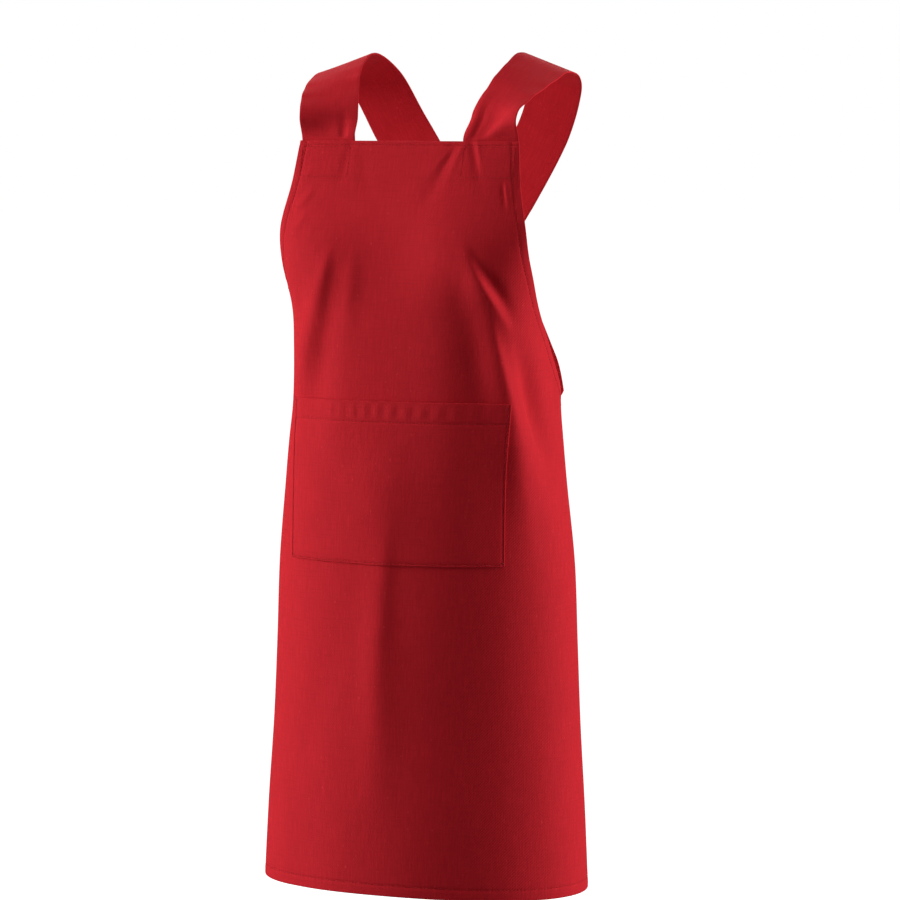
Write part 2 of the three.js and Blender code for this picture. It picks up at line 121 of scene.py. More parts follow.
# Ridges and, with a minus sign for their height, valleys. Each runs straight from its start to its
# end. Around is a share of half the bib's width to the wearer's left, drop of the body's length
# below the bib's top, width of FOLD_WIDTH at either end, and height of FOLD_HEIGHT. Peak is where
# along the fold it stands highest, and lean how much broader its flank towards the wearer's right
# is than the other, from -1 to 1. The first nine are in the CAD model too.
FOLD_WIDTH = 40 * MM
FOLD_HEIGHT = 10 * MM
FOLD_COLUMNS = "around around_end drop drop_end width width_end height peak lean"
FOLDS = {
    "left bust": (0.74, 0.74, 0.08, 0.24, 1.1, 1.1, 0.5, 0.5, 0),
    "right bust": (-0.74, -0.74, 0.08, 0.24, 1.1, 1.1, 0.5, 0.5, 0),
    "left bust to hip": (0.8, 1.42, 0.15, 0.56, 0.5, 0.5, 0.75, 0.5, 0),
    "under left bust": (0.66, 0.86, 0.15, 0.42, 0.55, 0.55, -0.4, 0.5, 0),
    "right bust to waist": (-0.74, -0.98, 0.15, 0.38, 0.4, 0.4, 0.5, 0.5, 0),
    "under right bust": (-0.6, -0.72, 0.16, 0.38, 0.4, 0.4, -0.25, 0.5, 0),
    "front crease": (-0.02, -0.06, 0.5, 0.95, 0.5, 0.5, 0.35, 0.5, 0),
    "left strap pull": (0.5, 0.14, -0.02, 0.12, 0.2, 0.2, -0.1, 0.5, 0),
    "right strap pull": (-0.5, -0.22, -0.02, 0.1, 0.2, 0.2, -0.05, 0.5, 0),
    "right bust point": (-0.57, -0.84, 0.135, 0.31, 0.14, 0.34, 0.26, 0.35, 0.1),
    "right bust inner": (-0.36, -0.44, 0.13, 0.28, 0.2, 0.26, 0.14, 0.45, 0),
    "right flank": (-0.87, -0.86, 0.13, 0.31, 0.3, 0.3, -0.22, 0.5, 0),
    "right waist": (-0.76, -0.8, 0.26, 0.5, 0.6, 0.6, -0.34, 0.4, 0),
    "left bust point": (0.58, 1.05, 0.128, 0.266, 0.26, 0.42, 0.72, 0.5, 0.58),
    "beside left bust": (0.65, 1.14, 0.13, 0.26, 0.14, 0.2, -0.25, 0.45, 0),
    "left waist": (0.82, 1.2, 0.215, 0.46, 0.24, 0.4, 0.46, 0.38, 0.5),
    "beside left waist": (0.93, 1.67, 0.225, 0.47, 0.3, 0.5, -1.1, 0.5, 0),
    "left hip": (0.94, 1.36, 0.3, 0.62, 0.3, 0.4, 0.25, 0.4, 0.2),
    "inside left waist": (0.82, 0.84, 0.35, 0.63, 0.5, 0.5, -0.15, 0.5, 0),
    "inside left bust": (0.64, 0.64, 0.13, 0.24, 0.3, 0.35, -0.15, 0.5, 0),
    "belly": (-0.02, -0.06, 0.33, 0.62, 0.8, 0.8, 0.36, 0.5, 0.1),
    "skirt centre": (0.03, -0.1, 0.48, 0.82, 0.3, 0.4, 0.22, 0.4, 0.3),
    "right of centre": (-0.19, -1.07, 0.54, 0.94, 0.5, 0.5, -0.12, 0.5, 0),
    "right skirt": (-0.84, -0.86, 0.84, 1.08, 0.6, 0.6, -0.1, 0.5, 0),
    "left skirt": (0.86, 0.88, 0.5, 1.02, 0.8, 0.8, -0.06, 0.5, 0),
    "left side": (1.42, 1.5, 0.5, 1.1, 0.7, 0.7, 0.1, 0.5, 0),
    "right bib edge": (-1.02, -1.05, -0.02, 0.2, 0.5, 0.5, -0.12, 0.5, 0),
    "left bib edge": (1.0, 1.08, -0.04, 0.2, 0.9, 0.9, -0.42, 0.5, 0),
    "left bib turn": (0.36, 0.42, -0.02, 0.26, 0.9, 0.9, 0.46, 0.6, 0),
    "left bib roll": (1.02, 1.04, -0.01, 0.09, 0.12, 0.12, -0.14, 0.5, 0),
    "left fan": (0.52, 0.36, 0.0, 0.07, 0.05, 0.12, 0.06, 0.3, 0),
    "left fan inner": (0.46, 0.28, 0.002, 0.06, 0.05, 0.1, -0.09, 0.4, 0),
    "left fan crease": (0.4, 0.2, 0.01, 0.05, 0.05, 0.09, 0.05, 0.4, 0),
    "left fan outer": (0.55, 0.78, -0.01, 0.085, 0.08, 0.2, -0.15, 0.35, 0),
    "left fan far": (0.61, 0.74, -0.01, 0.065, 0.05, 0.1, 0.08, 0.4, 0),
    "right fan": (-0.5, -0.62, -0.01, 0.09, 0.08, 0.2, -0.06, 0.35, 0),
    "left box pleat": (0.91, 0.985, 0.054, 0.1, 0.04, 0.07, 0.11, 0.35, 0),
    "beside left box": (0.88, 0.96, 0.05, 0.1, 0.05, 0.08, -0.1, 0.4, 0),
    "left box pleat 2": (0.96, 1.01, 0.054, 0.09, 0.04, 0.05, 0.05, 0.4, 0),
    "right armhole ripple": (-0.76, -1.01, 0.058, 0.098, 0.1, 0.12, 0.1, 0.5, 0),
    "right armhole ripple 2": (-0.8, -1.01, 0.09, 0.128, 0.09, 0.11, 0.09, 0.5, 0),
    "right armhole ripple 3": (-0.78, -1.0, 0.03, 0.062, 0.09, 0.11, 0.05, 0.5, 0),
}

# A strap's middle line from the bib to the shoulder, in shares of the shoulders' half span, of
# the bib's own reach and of its drop. Turn and slope say in degrees how far the strap's outer
# edge lies forward and down of its inner edge.
STRAP_FRONT = table(
    "across before down turn slope",
    (0.837, 0.896, 0.592, 20, 0),
    (0.899, 0.719, 0.373, 16, 7),
    (0.952, 0.53, 0.2, 11, 14),
    (0.99, 0.307, 0.06, 9, 18),
    (1.0, 0.028, -0.05, 7, 21),
)

# The line goes on to the opposite back corner. Behind is a share of the blades' reach, and down of
# the height from the shoulders to that corner. The straps cross where across is 0.
STRAP_BACK = table(
    "across behind down turn slope",
    (1.0, 0.36, 0.0, 4, 21),
    (0.92, 0.7, 0.048, 4, 17),
    (0.74, 0.92, 0.169, 8, 6),
    (0.38, 0.99, 0.341, 3, 0),
    (0.0, 1.0, 0.506, 0, 0),
    (-0.36, 0.96, 0.665, -3, 0),
    (-0.66, 0.8, 0.817, -14, 0),
)
CROSSING_DOWN = 0.506

# Ridges and valleys of the straps near the bib, with the columns of FOLDS. Here around runs from 0
# at the strap's inner edge to 1 at its outer one, and drop is a share of the tuck's length above
# the seam, width of the strap's width and height of the tuck's height.
STRAP_FOLDS = {
    "left": {
        "inner band": (0.08, 0.12, -0.1, 1.1, 0.08, 0.12, 0.3, 0.35, 0),
        "tuck": (0.17, 0.28, -0.1, 0.9, 0.035, 0.06, -0.26, 0.35, 0),
        "beside the tuck": (0.2, 0.9, -0.1, 0.85, 0.06, 0.42, -0.85, 0.45, 0.3),
        "fan": (0.22, 1.1, -0.05, 0.6, 0.1, 0.2, 0.34, 0.4, 0),
        "under the fan": (0.3, 1.15, -0.14, 0.26, 0.14, 0.16, -0.13, 0.5, 0),
    },
    "right": {
        "inner band": (-0.1, -0.1, -0.1, 1.1, 0.32, 0.34, 0.4, 0.35, 0),
        "tuck": (0.2, 0.27, -0.1, 0.6, 0.06, 0.1, -0.34, 0.4, 0),
        "hollow": (0.3, 0.8, 0.1, 0.5, 0.16, 0.3, -0.16, 0.4, 0),
    },
}


def length(name, description, size):
    """A size that can be changed, in metres."""
    return bpy.props.FloatProperty(
        name=name, description=description, default=size, unit="LENGTH", subtype="DISTANCE", precision=4
    )


def colour(name, description, value):
    """A colour that can be changed."""
    return bpy.props.FloatVectorProperty(
        name=name, description=description, default=value, size=3, min=0, max=1, subtype="COLOR"
    )


def share(name, description, value):
    """A share from 0 to 1 that can be changed."""
    return bpy.props.FloatProperty(name=name, description=description, default=value, min=0, max=1)


class ApronBody(bpy.types.PropertyGroup):
    """The sizes of the bib and skirt, and of the form they are worn over."""

    bib_top_drop: length("Bib top", "From the shoulders down to the bib", to_half_millimetre(-PANEL_HIGH.z))
    body_length: length(
        "Length",
        "From the bib's top edge to the hem in front",
        to_half_millimetre(PANEL_HIGH.z - PANEL_LOW.z - HEM_SIDE_DROP),
    )
    bib_width: length("Bib width", "Along the bib's top edge", 0.233)
    armhole_depth: length("Armhole depth", "From the bib's top edge to the back corner", 0.295)
    back_opening: length("Back opening", "The gap left open behind", 0.148)
    hem_side_drop: length("Hem drop", "How much lower the hem hangs at the sides", HEM_SIDE_DROP)
    hem_half_width: length("Hem half width", "Half the worn width at the hem", 0.169)
    front_reach: length("Front reach", "The hem before the shoulder line", to_half_millimetre(-PANEL_LOW.y))
    back_reach: length("Back reach", "The hem behind the shoulder line", 0.062)


class ApronSeams(bpy.types.PropertyGroup):
    """The cloth's thickness, its hems and its stitching."""

    cloth: length("Cloth", "One layer of twill", 0.0008)
    layer_gap: length("Layer gap", "Clearance between sewn layers", 0.0001)
    bib_hem: length("Bib hem", "Depth of the bib's turned top", 0.038)
    armhole_hem: length("Armhole hem", "Width of the armhole's hem", 0.009)
    skirt_hem: length("Skirt hem", "Depth of the bottom hem", 0.012)
    back_hem: length("Back hem", "Width of the back edges' hems", 0.012)
    top_stitch: length("Top stitch", "From the bib's edge to its first row of stitches", 0.004)
    stitch: length("Stitch", "Length of one stitch", 0.0027)
    stitch_gap: length("Stitch gap", "From one stitch to the next", 0.0009)
    thread: length("Thread", "Thickness of the sewing thread", 0.00042)


class ApronPocket(bpy.types.PropertyGroup):
    """The patch pocket's sizes."""

    width: length("Width", "Across the pocket", 0.238)
    depth: length("Depth", "From its mouth to its bottom", to_half_millimetre(POCKET_HIGH.z - POCKET_LOW.z))
    drop: length(
        "Drop", "From the bib's top edge to the mouth", to_half_millimetre(PANEL_HIGH.z - POCKET_HIGH.z)
    )
    hem: length("Mouth hem", "Depth of the turned mouth", 0.02)
    ease: length("Ease", "How far the mouth stands off", 0.0012)
    edge_stitch: length("Edge stitch", "From the pocket's edge to its stitches", 0.0022)


class ApronStraps(bpy.types.PropertyGroup):
    """The sizes of the two straps and of the shoulders that they pass over."""

    width: length("Width", "Across a strap", 0.058)
    thickness: length("Thickness", "Two layers of twill, turned and pressed", 0.0017)
    insert: length("Insert", "The length sewn inside the cloth", 0.038)
    shoulder_half_span: length("Shoulders", "From the centre to a strap's middle", 0.106)
    blade_reach: length("Blades", "The crossing behind the shoulder line", 0.076)
    inset: length("Inset", "From the cloth's edge to the strap's", 0.001)
    crossing_gap: length("Crossing gap", "Between the straps where they cross", 0.0022)
    seam_blend: length("Seam blend", "The way over which a sewn end eases out", 0.024)
    tuck_height: length("Tuck height", "How far the tuck stands up", 0.006)
    tuck_length: length("Tuck length", "How far the tuck runs up the strap", 0.062)


class ApronLooks(bpy.types.PropertyGroup):
    """The colours and finish of the twill and its thread."""

    cloth: colour("Cloth", "The dyed twill", (0.56, 0.0085, 0.018))
    faded: colour("Slubs", "Thicker, paler yarns", (0.63, 0.012, 0.022))
    thread: colour("Thread", "The sewing thread", (0.5, 0.008, 0.015))
    sheen: share("Sheen", "The soft nap's light edge", 0.03)
    wale: length("Wale", "From one diagonal rib of the twill to the next", 0.0013)


class ApronStudio(bpy.types.PropertyGroup):
    """The floor, lights and camera."""

    floor: colour("Floor", "The pale floor", (0.9, 0.9, 0.9))
    floor_drop: length("Floor drop", "The floor below the shoulders", 1.4)
    ambient: share("Ambient", "The light that comes from all round", 0.12)
    light: bpy.props.FloatProperty(
        name="Light", description="Power of the lights", default=100, unit="POWER"
    )
    camera_turn: bpy.props.FloatProperty(
        name="Turn", description="The camera's way round", default=math.radians(23), unit="ROTATION"
    )
    camera_distance: length("Distance", "From the shoulders to the camera", 4.0)


GROUPS = {
    "apron_body": ApronBody,
    "apron_seams": ApronSeams,
    "apron_pocket": ApronPocket,
    "apron_straps": ApronStraps,
    "apron_looks": ApronLooks,
    "apron_studio": ApronStudio,
}


def smooth(share_of_way):
    """An S curve from 0 to 1."""
    t = np.clip(share_of_way, 0, 1)
    return t * t * (3 - 2 * t)


def between(start, end, t):
    """A value that goes from start at 0 to end at 1."""
    return start + (end - start) * t


def bump_across(offset, width):
    """A bell over offset, 1 at its middle."""
    return np.exp(-((offset / width) ** 2))


def read_table(rows, by, column, at):
    """One column of a table at any value of another, on a smooth curve through the rows."""
    x, y = rows[by], rows[column]
    last = len(x) - 1
    before, after = np.maximum(np.arange(last + 1) - 1, 0), np.minimum(np.arange(last + 1) + 1, last)
    slope = (y[after] - y[before]) / (x[after] - x[before])
    at = np.asarray(at, float)
    i = np.clip(np.searchsorted(x, at, side="right") - 1, 0, last - 1)
    span = x[i + 1] - x[i]
    t = np.clip((at - x[i]) / span, 0, 1)
    rise = smooth(t)
    bend = t * (1 - t) * (1 - t) * slope[i] - t * t * (1 - t) * slope[i + 1]
    return between(y[i], y[i + 1], rise) + bend * span


def fold_heights(folds, x, y, spans, width, height):
    """The height of a table's folds at places x, y. Spans turns its shares into sizes."""
    total = np.zeros(np.broadcast(x, y).shape)
    for row in folds.values():
        fold = dict(zip(FOLD_COLUMNS.split(), row))
        start = np.array([fold["around"], fold["drop"]]) * spans[0] + spans[1]
        end = np.array([fold["around_end"], fold["drop_end"]]) * spans[0] + spans[1]
        run = end - start
        size = math.hypot(*run)
        along = np.clip(((x - start[0]) * run[0] + (y - start[1]) * run[1]) / size**2, 0, 1)
        off = ((x - start[0]) * run[1] - (y - start[1]) * run[0]) / size
        swell = np.sin(math.pi * along ** (math.log(0.5) / math.log(fold["peak"]))) ** 2
        flank = width * between(fold["width"], fold["width_end"], along)
        flank = flank * np.where(off > 0, 1 - fold["lean"], 1 + fold["lean"])
        total += fold["height"] * height * swell * bump_across(off, flank)
    return total


class WornForm:
    """The cloth's outer face: around is the way from the centre front, positive to the wearer's
    left, and drop the depth below the shoulders."""

    # Steps of the outline over half the way round, the most points worked out at a time, and the
    # way to either side over which the cloth's and the edge's directions are measured.
    STEPS = 120
    MOST = 12000
    NORMAL_STEP = 1.5 * MM
    EDGE_STEP = 3 * MM

    def __init__(self, body):
        self.body = body
        self.full = body.bib_top_drop + body.body_length
        self.corner = body.bib_top_drop + body.armhole_depth
        self.angles = math.pi * (0.5 - np.arange(self.STEPS + 1) / self.STEPS)

    def ovals(self, drop):
        """Half width, side line, front, back and squareness of the outline at each drop."""
        level = {name: read_table(SECTIONS, "drop", name, drop / self.full) for name in SECTIONS}
        side = -self.body.front_reach * level["side"]
        front = side + self.body.front_reach * level["front"]
        back = self.body.back_reach * level["back"] - side
        return self.body.hem_half_width * level["half_width"], side, front, back, level["square"]

    def radius(self, angle, oval):
        """How far the outline lies from the middle of its side line in some direction."""
        half_width, _, front, back, square = oval
        across, along = np.abs(np.cos(angle)), np.abs(np.sin(angle))
        reach = np.where(np.sin(angle) >= 0, front, back)
        return ((across / half_width) ** square + (along / reach) ** square) ** (-1 / square)

    def walk(self, oval):
        """The way walked along the outline at each angle, from the centre front."""
        r = self.radius(self.angles[None], [part[:, None] for part in oval])
        x, y = r * np.cos(self.angles), r * np.sin(self.angles)
        steps = np.hypot(np.diff(x), np.diff(y))
        return np.concatenate([np.zeros((len(x), 1)), np.cumsum(steps, axis=1)], axis=1)

    def half_round(self, drop):
        """Half the way round the form."""
        flat = np.asarray(drop, float).ravel()
        return self.walk(self.ovals(flat))[:, -1].reshape(np.shape(drop))

    def outline(self, around, drop):
        """Places on the outline, and the level direction that faces out of each."""
        places = []
        for start in range(0, len(around), self.MOST):
            u, d = around[start : start + self.MOST], drop[start : start + self.MOST]
            oval = self.ovals(d)
            walked = self.walk(oval)
            way = np.minimum(np.abs(u), walked[:, -1])
            i = np.clip((walked < way[:, None]).sum(1), 1, self.STEPS)
            row = np.arange(len(u))
            t = (way - walked[row, i - 1]) / (walked[row, i] - walked[row, i - 1])
            angle = between(self.angles[i - 1], self.angles[i], t)
            half_width, side, front, back, square = oval
            r = self.radius(angle, oval)
            x, y = r * np.cos(angle), -r * np.sin(angle)
            reach = np.where(y <= 0, front, back)
            out_x = np.maximum(np.abs(x), 1e-9) ** (square - 1) / half_width**square
            out_y = np.sign(y) * np.maximum(np.abs(y), 1e-9) ** (square - 1) / reach**square
            size = np.hypot(out_x, out_y)
            hand = np.where(u < 0, -1.0, 1.0)
            places.append(np.stack([hand * x, y + side, hand * out_x / size, out_y / size], axis=1))
        return np.concatenate(places)

    def folds(self, around, drop):
        """The height of the cloth's folds."""
        spans = (
            np.array([self.body.bib_width / 2, self.body.body_length]),
            np.array([0, self.body.bib_top_drop]),
        )
        return fold_heights(FOLDS, around, drop, spans, FOLD_WIDTH, FOLD_HEIGHT)

    def place(self, around, drop):
        """Points on the cloth's outer face."""
        shape = np.broadcast(around, drop).shape
        u, d = (np.broadcast_to(x, shape).ravel().astype(float) for x in (around, drop))
        x, y, out_x, out_y = self.outline(u, d).T
        lift = self.folds(u, d)
        return np.stack([x + lift * out_x, y + lift * out_y, -d], axis=1).reshape(shape + (3,))

    def face(self, around, drop):
        """Points on the cloth's outer face, and the direction that it looks there."""
        step = self.NORMAL_STEP
        down = self.place(around, drop + step) - self.place(around, drop - step)
        left = self.place(around + step, drop) - self.place(around - step, drop)
        normal = np.cross(down, left)
        return self.place(around, drop), normal / np.linalg.norm(normal, axis=-1, keepdims=True)

    def edge(self, drop):
        """Half the cloth's width at a drop."""
        drop = np.asarray(drop, float)
        body = self.body
        down = (drop - body.bib_top_drop) / body.armhole_depth
        out = np.clip(read_table(ARMHOLE, "down", "out", down), 0, 1)
        corner = self.half_round(np.array(self.corner)) - body.back_opening / 2
        above = between(body.bib_width / 2, corner, out)
        return np.where(drop >= self.corner, self.half_round(drop) - body.back_opening / 2, above)

    def lean(self, drop):
        """How much longer a way across a hem is when it is walked level round the body."""
        step = self.EDGE_STEP
        return np.hypot(1, (self.edge(drop + step) - self.edge(drop - step)) / (2 * step))

    def follow_hem(self, around, drop):
        """Rows near the hem follow it down at the sides."""
        low = smooth((drop - self.corner) / (self.full - self.corner))
        sidewards = smooth(2 * np.abs(around) / self.half_round(np.array(self.full)))
        return drop + self.body.hem_side_drop * sidewards * low


def spread(start, end, step):
    """Even steps from start up to, but not with, end."""
    count = max(1, round((end - start) / step))
    return list(start + (end - start) * np.arange(count) / count)


def new_piece(name, points, faces, material, place=None):
    """A smooth mesh object that rides on the apron. Place is where each corner lies on the flat
    cloth, for the weave."""
    mesh = bpy.data.meshes.new(name)
    mesh.from_pydata(points.tolist(), [], faces)
    mesh.update()
    if not mesh.polygons:
        raise RuntimeError(f"{name} has no faces")
    mesh.polygons.foreach_set("use_smooth", [True] * len(mesh.polygons))
    if place is not None:
        layer = mesh.attributes.new("cloth_place", "FLOAT_VECTOR", "POINT")
        layer.data.foreach_set("vector", np.asarray(place, np.float32).ravel())
    mesh.materials.append(material)
    piece = bpy.data.objects.new(name, mesh)
    bpy.context.scene.collection.objects.link(piece)
    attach(piece, BODY)
    return piece


def volume_of(points, faces):
    """The signed volume inside four sided faces."""
    a, b, c, d = (points[faces[:, k]] for k in range(4))
    return (np.cross(a, b) * c).sum() + (np.cross(a, c) * d).sum()


def new_sheet(name, middle, normal, outer, inner, material, place):
    """A closed sheet over a grid of points, between an outer and an inner lift along the normals.
    The two faces share their rim."""
    rows, columns = outer.shape
    rim = np.ones((rows, columns), bool)
    rim[1:-1, 1:-1] = False
    front = np.arange(rows * columns).reshape(rows, columns)
    back = front.copy()
    back[~rim] = rows * columns + np.arange((~rim).sum())
    face = middle + normal * outer[..., None]
    lining = middle + normal * inner[..., None]
    points = np.concatenate([face.reshape(-1, 3), lining[~rim]])
    flat = np.concatenate([place.reshape(-1, 3), place[~rim]])
    flat[rows * columns :, 2] = 1
    quads = [
        np.stack([g[:-1, :-1], g[1:, :-1], g[1:, 1:], g[:-1, 1:]], axis=-1).reshape(-1, 4)
        for g in (front, back[:, ::-1])
    ]
    faces = np.concatenate(quads)
    if volume_of(points, faces) < 0:
        faces = faces[:, ::-1]
    return new_piece(name, points, faces.tolist(), material, flat)


def rounded(distance, radius):
    """How far a rounded edge falls away from its face, this far from the edge."""
    short = np.clip(radius - distance, 0, radius)
    return radius - np.sqrt(np.maximum(radius**2 - short**2, 0))


def flat_place(around, drop):
    """Where points lie on the flat cloth."""
    around, drop = np.broadcast_arrays(around, drop)
    return np.stack([around, drop, np.zeros_like(around)], axis=-1)


def roping(way, length_of_wave=11 * MM):
    """The uneven small waves along a sewn edge, from -1 to 1."""
    slow = np.sin(way / (3.1 * length_of_wave) + 0.7) + 0.6 * np.sin(way / (1.7 * length_of_wave) + 2.1)
    return np.sin(2 * math.pi * way / length_of_wave + 1.6 * slow) * (0.65 + 0.35 * slow / 1.6)


class Seams:
    """The seams' sizes, and the small relief that stitching leaves in the cloth."""

    # The dip along a row of stitches. The facing's lower row pulls the cloth in less.
    GROOVE_DEPTH = 0.4 * MM
    GROOVE_WIDTH = 1.0 * MM
    FACING_PULL = 0.25

    # The small waves of a narrow hem. They end this many times as far from the edge as its
    # stitches, and the bottom hem's start elsewhere in the pattern than the side hems'.
    ROPING_HEIGHT = 0.28 * MM
    ROPING_REACH = 1.6
    BOTTOM_START = 0.4

    # From a narrow hem's inner edge to its stitches, and the way below the back corner over which
    # the armhole's hem turns into the back edge's.
    STITCHES_IN = 1 * MM
    CORNER_BLEND = 6 * MM

    def __init__(self, form, sizes):
        self.form, self.sizes = form, sizes
        self.radius = sizes.cloth + sizes.layer_gap / 2
        self.rim = 1.5 * self.radius
        self.armhole_line = sizes.armhole_hem - self.STITCHES_IN
        self.skirt_line = sizes.skirt_hem - self.STITCHES_IN
        self.back_line = sizes.back_hem - self.STITCHES_IN

    def past_corner(self, drop):
        """0 above the back corner and 1 below it."""
        return smooth((drop - self.form.corner) / self.CORNER_BLEND)

    def side_line(self, drop):
        """From the side edge to its row of stitches."""
        return between(self.armhole_line, self.back_line, self.past_corner(drop))

    def groove(self, distance):
        """The dip along a row of stitches."""
        return -self.GROOVE_DEPTH * bump_across(distance, self.GROOVE_WIDTH)

    def ropes(self, from_edge, line, way):
        """The waves in a narrow hem, strongest near its stitches."""
        across = np.clip(from_edge / line, 0, self.ROPING_REACH)
        return self.ROPING_HEIGHT * roping(way) * np.sin(math.pi * across / self.ROPING_REACH) ** 2

    def bottom_ropes(self, from_hem, around):
        """The waves in the bottom hem."""
        return self.ropes(from_hem, self.skirt_line, around + self.BOTTOM_START)

    def relief(self, from_side, from_top, from_hem, around, drop):
        """The small relief of all the rows of stitches on the bib and skirt."""
        side = self.side_line(drop)
        total = self.groove(from_side - side) + self.ropes(from_side, side, drop)
        total = total + self.groove(from_top - self.sizes.top_stitch)
        total = total + self.groove(from_top - self.sizes.bib_hem) * self.FACING_PULL
        total = total + self.groove(from_hem - self.skirt_line)
        return total + self.bottom_ropes(from_hem, around)


# Grid lines over a rounded edge, in shares of its radius, and beside a row of stitches.
RIM_LINES = np.array([0, 0.15, 0.5, 1, 1.5, 1.7])
STITCH_LINES = np.array([-1.2, -0.5, 0, 0.5, 1.2]) * MM


def near_edge(line, radius):
    """Grid lines close to an edge that is rounded and has a row of stitches."""
    rim, stitches = RIM_LINES * radius, line + STITCH_LINES
    first = rim[-1] + 0.8 * MM
    middle = spread(first, max(stitches[0] - 0.3 * MM, first + 0.1 * MM), 1.9 * MM)
    return np.array([*rim, *middle, *stitches, line + 2.6 * MM])


def lines_between(first, last, size, gaps, step):
    """Grid lines over a size. First and last are those near its two ends, with a gap to the rest."""
    middle = spread(first[-1] + gaps[0], size - last[-1] - gaps[1], step)
    return np.array([*first, *middle, *(size - last[::-1])])


# The fine pleats under the bib's facing end this far below its top edge, and the rows lie closer
# together this far above the back corner.
PLEATS_END = 78 * MM
CORNER_ROWS = 30 * MM
PANEL_COLUMNS = 172


def panel_rows(form, seams):
    """Drops of the panel's rows, close together at its seams."""
    body, line, corner = form.body, seams.sizes.bib_hem, form.body.armhole_depth
    top = near_edge(seams.sizes.top_stitch, seams.radius)
    hem = near_edge(seams.skirt_line, seams.radius)
    facing = line + STITCH_LINES
    rows = [*top, *spread(top[-1] + 1.8 * MM, facing[0] - 1 * MM, 2.2 * MM), *facing]
    rows += spread(line + 3 * MM, PLEATS_END, 2.2 * MM)
    rows += spread(PLEATS_END, corner - CORNER_ROWS, 3.9 * MM)
    rows += spread(corner - CORNER_ROWS, corner, 2.5 * MM)
    rows += spread(corner, body.body_length - hem[-1] - 2 * MM, 3.95 * MM)
    return body.bib_top_drop + np.array([*rows, *(body.body_length - hem[::-1])])


def panel_grid(form, seams):
    """Around, drop and the distance to the side edge over the panel's grid."""
    drop = panel_rows(form, seams)
    edge, lean = form.edge(drop), form.lean(drop)
    near = near_edge(seams.armhole_line, seams.radius)
    near_below = near_edge(seams.back_line, seams.radius)
    near_below = np.interp(np.arange(len(near)), np.linspace(0, len(near) - 1, len(near_below)), near_below)
    from_edge = between(near[None], near_below[None], seams.past_corner(drop)[:, None])
    reach = from_edge * lean[:, None]
    inside = edge - reach[:, -1]
    middle = inside[:, None] * np.linspace(-1, 1, PANEL_COLUMNS + 2)[None, 1:-1]
    left = edge[:, None] - reach
    around = np.concatenate([-left, middle, left[:, ::-1]], axis=1)
    far = np.full(middle.shape, FAR)
    from_side = np.concatenate([from_edge, far, from_edge[:, ::-1]], axis=1)
    drops = np.broadcast_to(drop[:, None], around.shape)
    return around, drops, from_side


def turned_under(outer, turned, inside, distance, reach):
    """The inner lift of cloth with its edges turned under, up to a reach from them."""
    inner = np.where(distance <= reach + TINY, turned, inside)
    return np.where(distance < TINY, outer, inner)


def lay_cloth(name, node, on_form, around, drop, lifts, material):
    """A sheet between an outer and an inner lift off some places on the form, for a CAD node."""
    piece = new_sheet(name, *on_form, *lifts, material, flat_place(around, drop))
    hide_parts(node)
    return piece


def make_panel(form, seams, material):
    """The bib and skirt, cut in one, with rounded turned edges."""
    around, drop, from_side = panel_grid(form, seams)
    from_top = drop - form.body.bib_top_drop
    from_hem = form.full - drop
    relief = seams.relief(from_side, from_top, from_hem, around, drop)
    distance = np.minimum(np.minimum(from_side, from_top), from_hem)
    fall = rounded(distance, seams.radius)
    outer = relief - fall
    turned = relief - 2 * seams.radius + fall
    inner = turned_under(outer, turned, relief - seams.sizes.cloth, distance, seams.rim)
    on_form = form.face(around, form.follow_hem(around, drop))
    return lay_cloth("twill_bib_and_skirt", "bib_and_skirt", on_form, around, drop, (outer, inner), material)


def one_layer(face, cloth):
    """The outer and inner lift of a single layer with a rounded rim, from its face's lift."""
    rows, columns = face.shape
    r, c = np.meshgrid(np.arange(rows), np.arange(columns), indexing="ij")
    steps = np.minimum(np.minimum(r, rows - 1 - r), np.minimum(c, columns - 1 - c))
    fall = rounded(steps * cloth / 4, cloth / 2)
    return face - fall, np.where(steps == 0, face - fall, face - cloth + fall)


def rim_shares(count):
    """Shares from 0 to 1 with one more line close to either end, for a rounded rim."""
    return np.array([0, 0.002, *np.linspace(0.006, 0.994, count), 0.998, 1])


def make_hem(name, node, form, seams, around, drop, relief, material):
    """A hem that is turned inside the panel."""
    sewn = seams.sizes
    lifts = one_layer(relief - sewn.cloth - sewn.layer_gap, sewn.cloth)
    on_form = form.face(around, form.follow_hem(around, drop))
    lay_cloth(name, node, on_form, around, drop, lifts, material)


def make_level_hems(form, seams, start, material):
    """The hems across the bib and along the bottom."""
    sewn, top = seams.sizes, form.body.bib_top_drop
    bib_drop = top + between(start, sewn.bib_hem, rim_shares(16))
    skirt_drop = between(form.full - sewn.skirt_hem, form.full - start, rim_shares(8))
    along = rim_shares(110)[None] * 2 - 1
    for name, node, drop, margin in (
        ("twill_bib_hem", "bib_top_hem", bib_drop, sewn.armhole_hem + 2 * MM),
        ("twill_skirt_hem", "skirt_hem", skirt_drop, sewn.back_hem + 1 * MM),
    ):
        around = along * (form.edge(drop) - margin)[:, None]
        drop = np.broadcast_to(drop[:, None], around.shape)
        relief = seams.relief(FAR, drop - top, form.full - drop, around, drop)
        make_hem(name, node, form, seams, around, drop, relief, material)


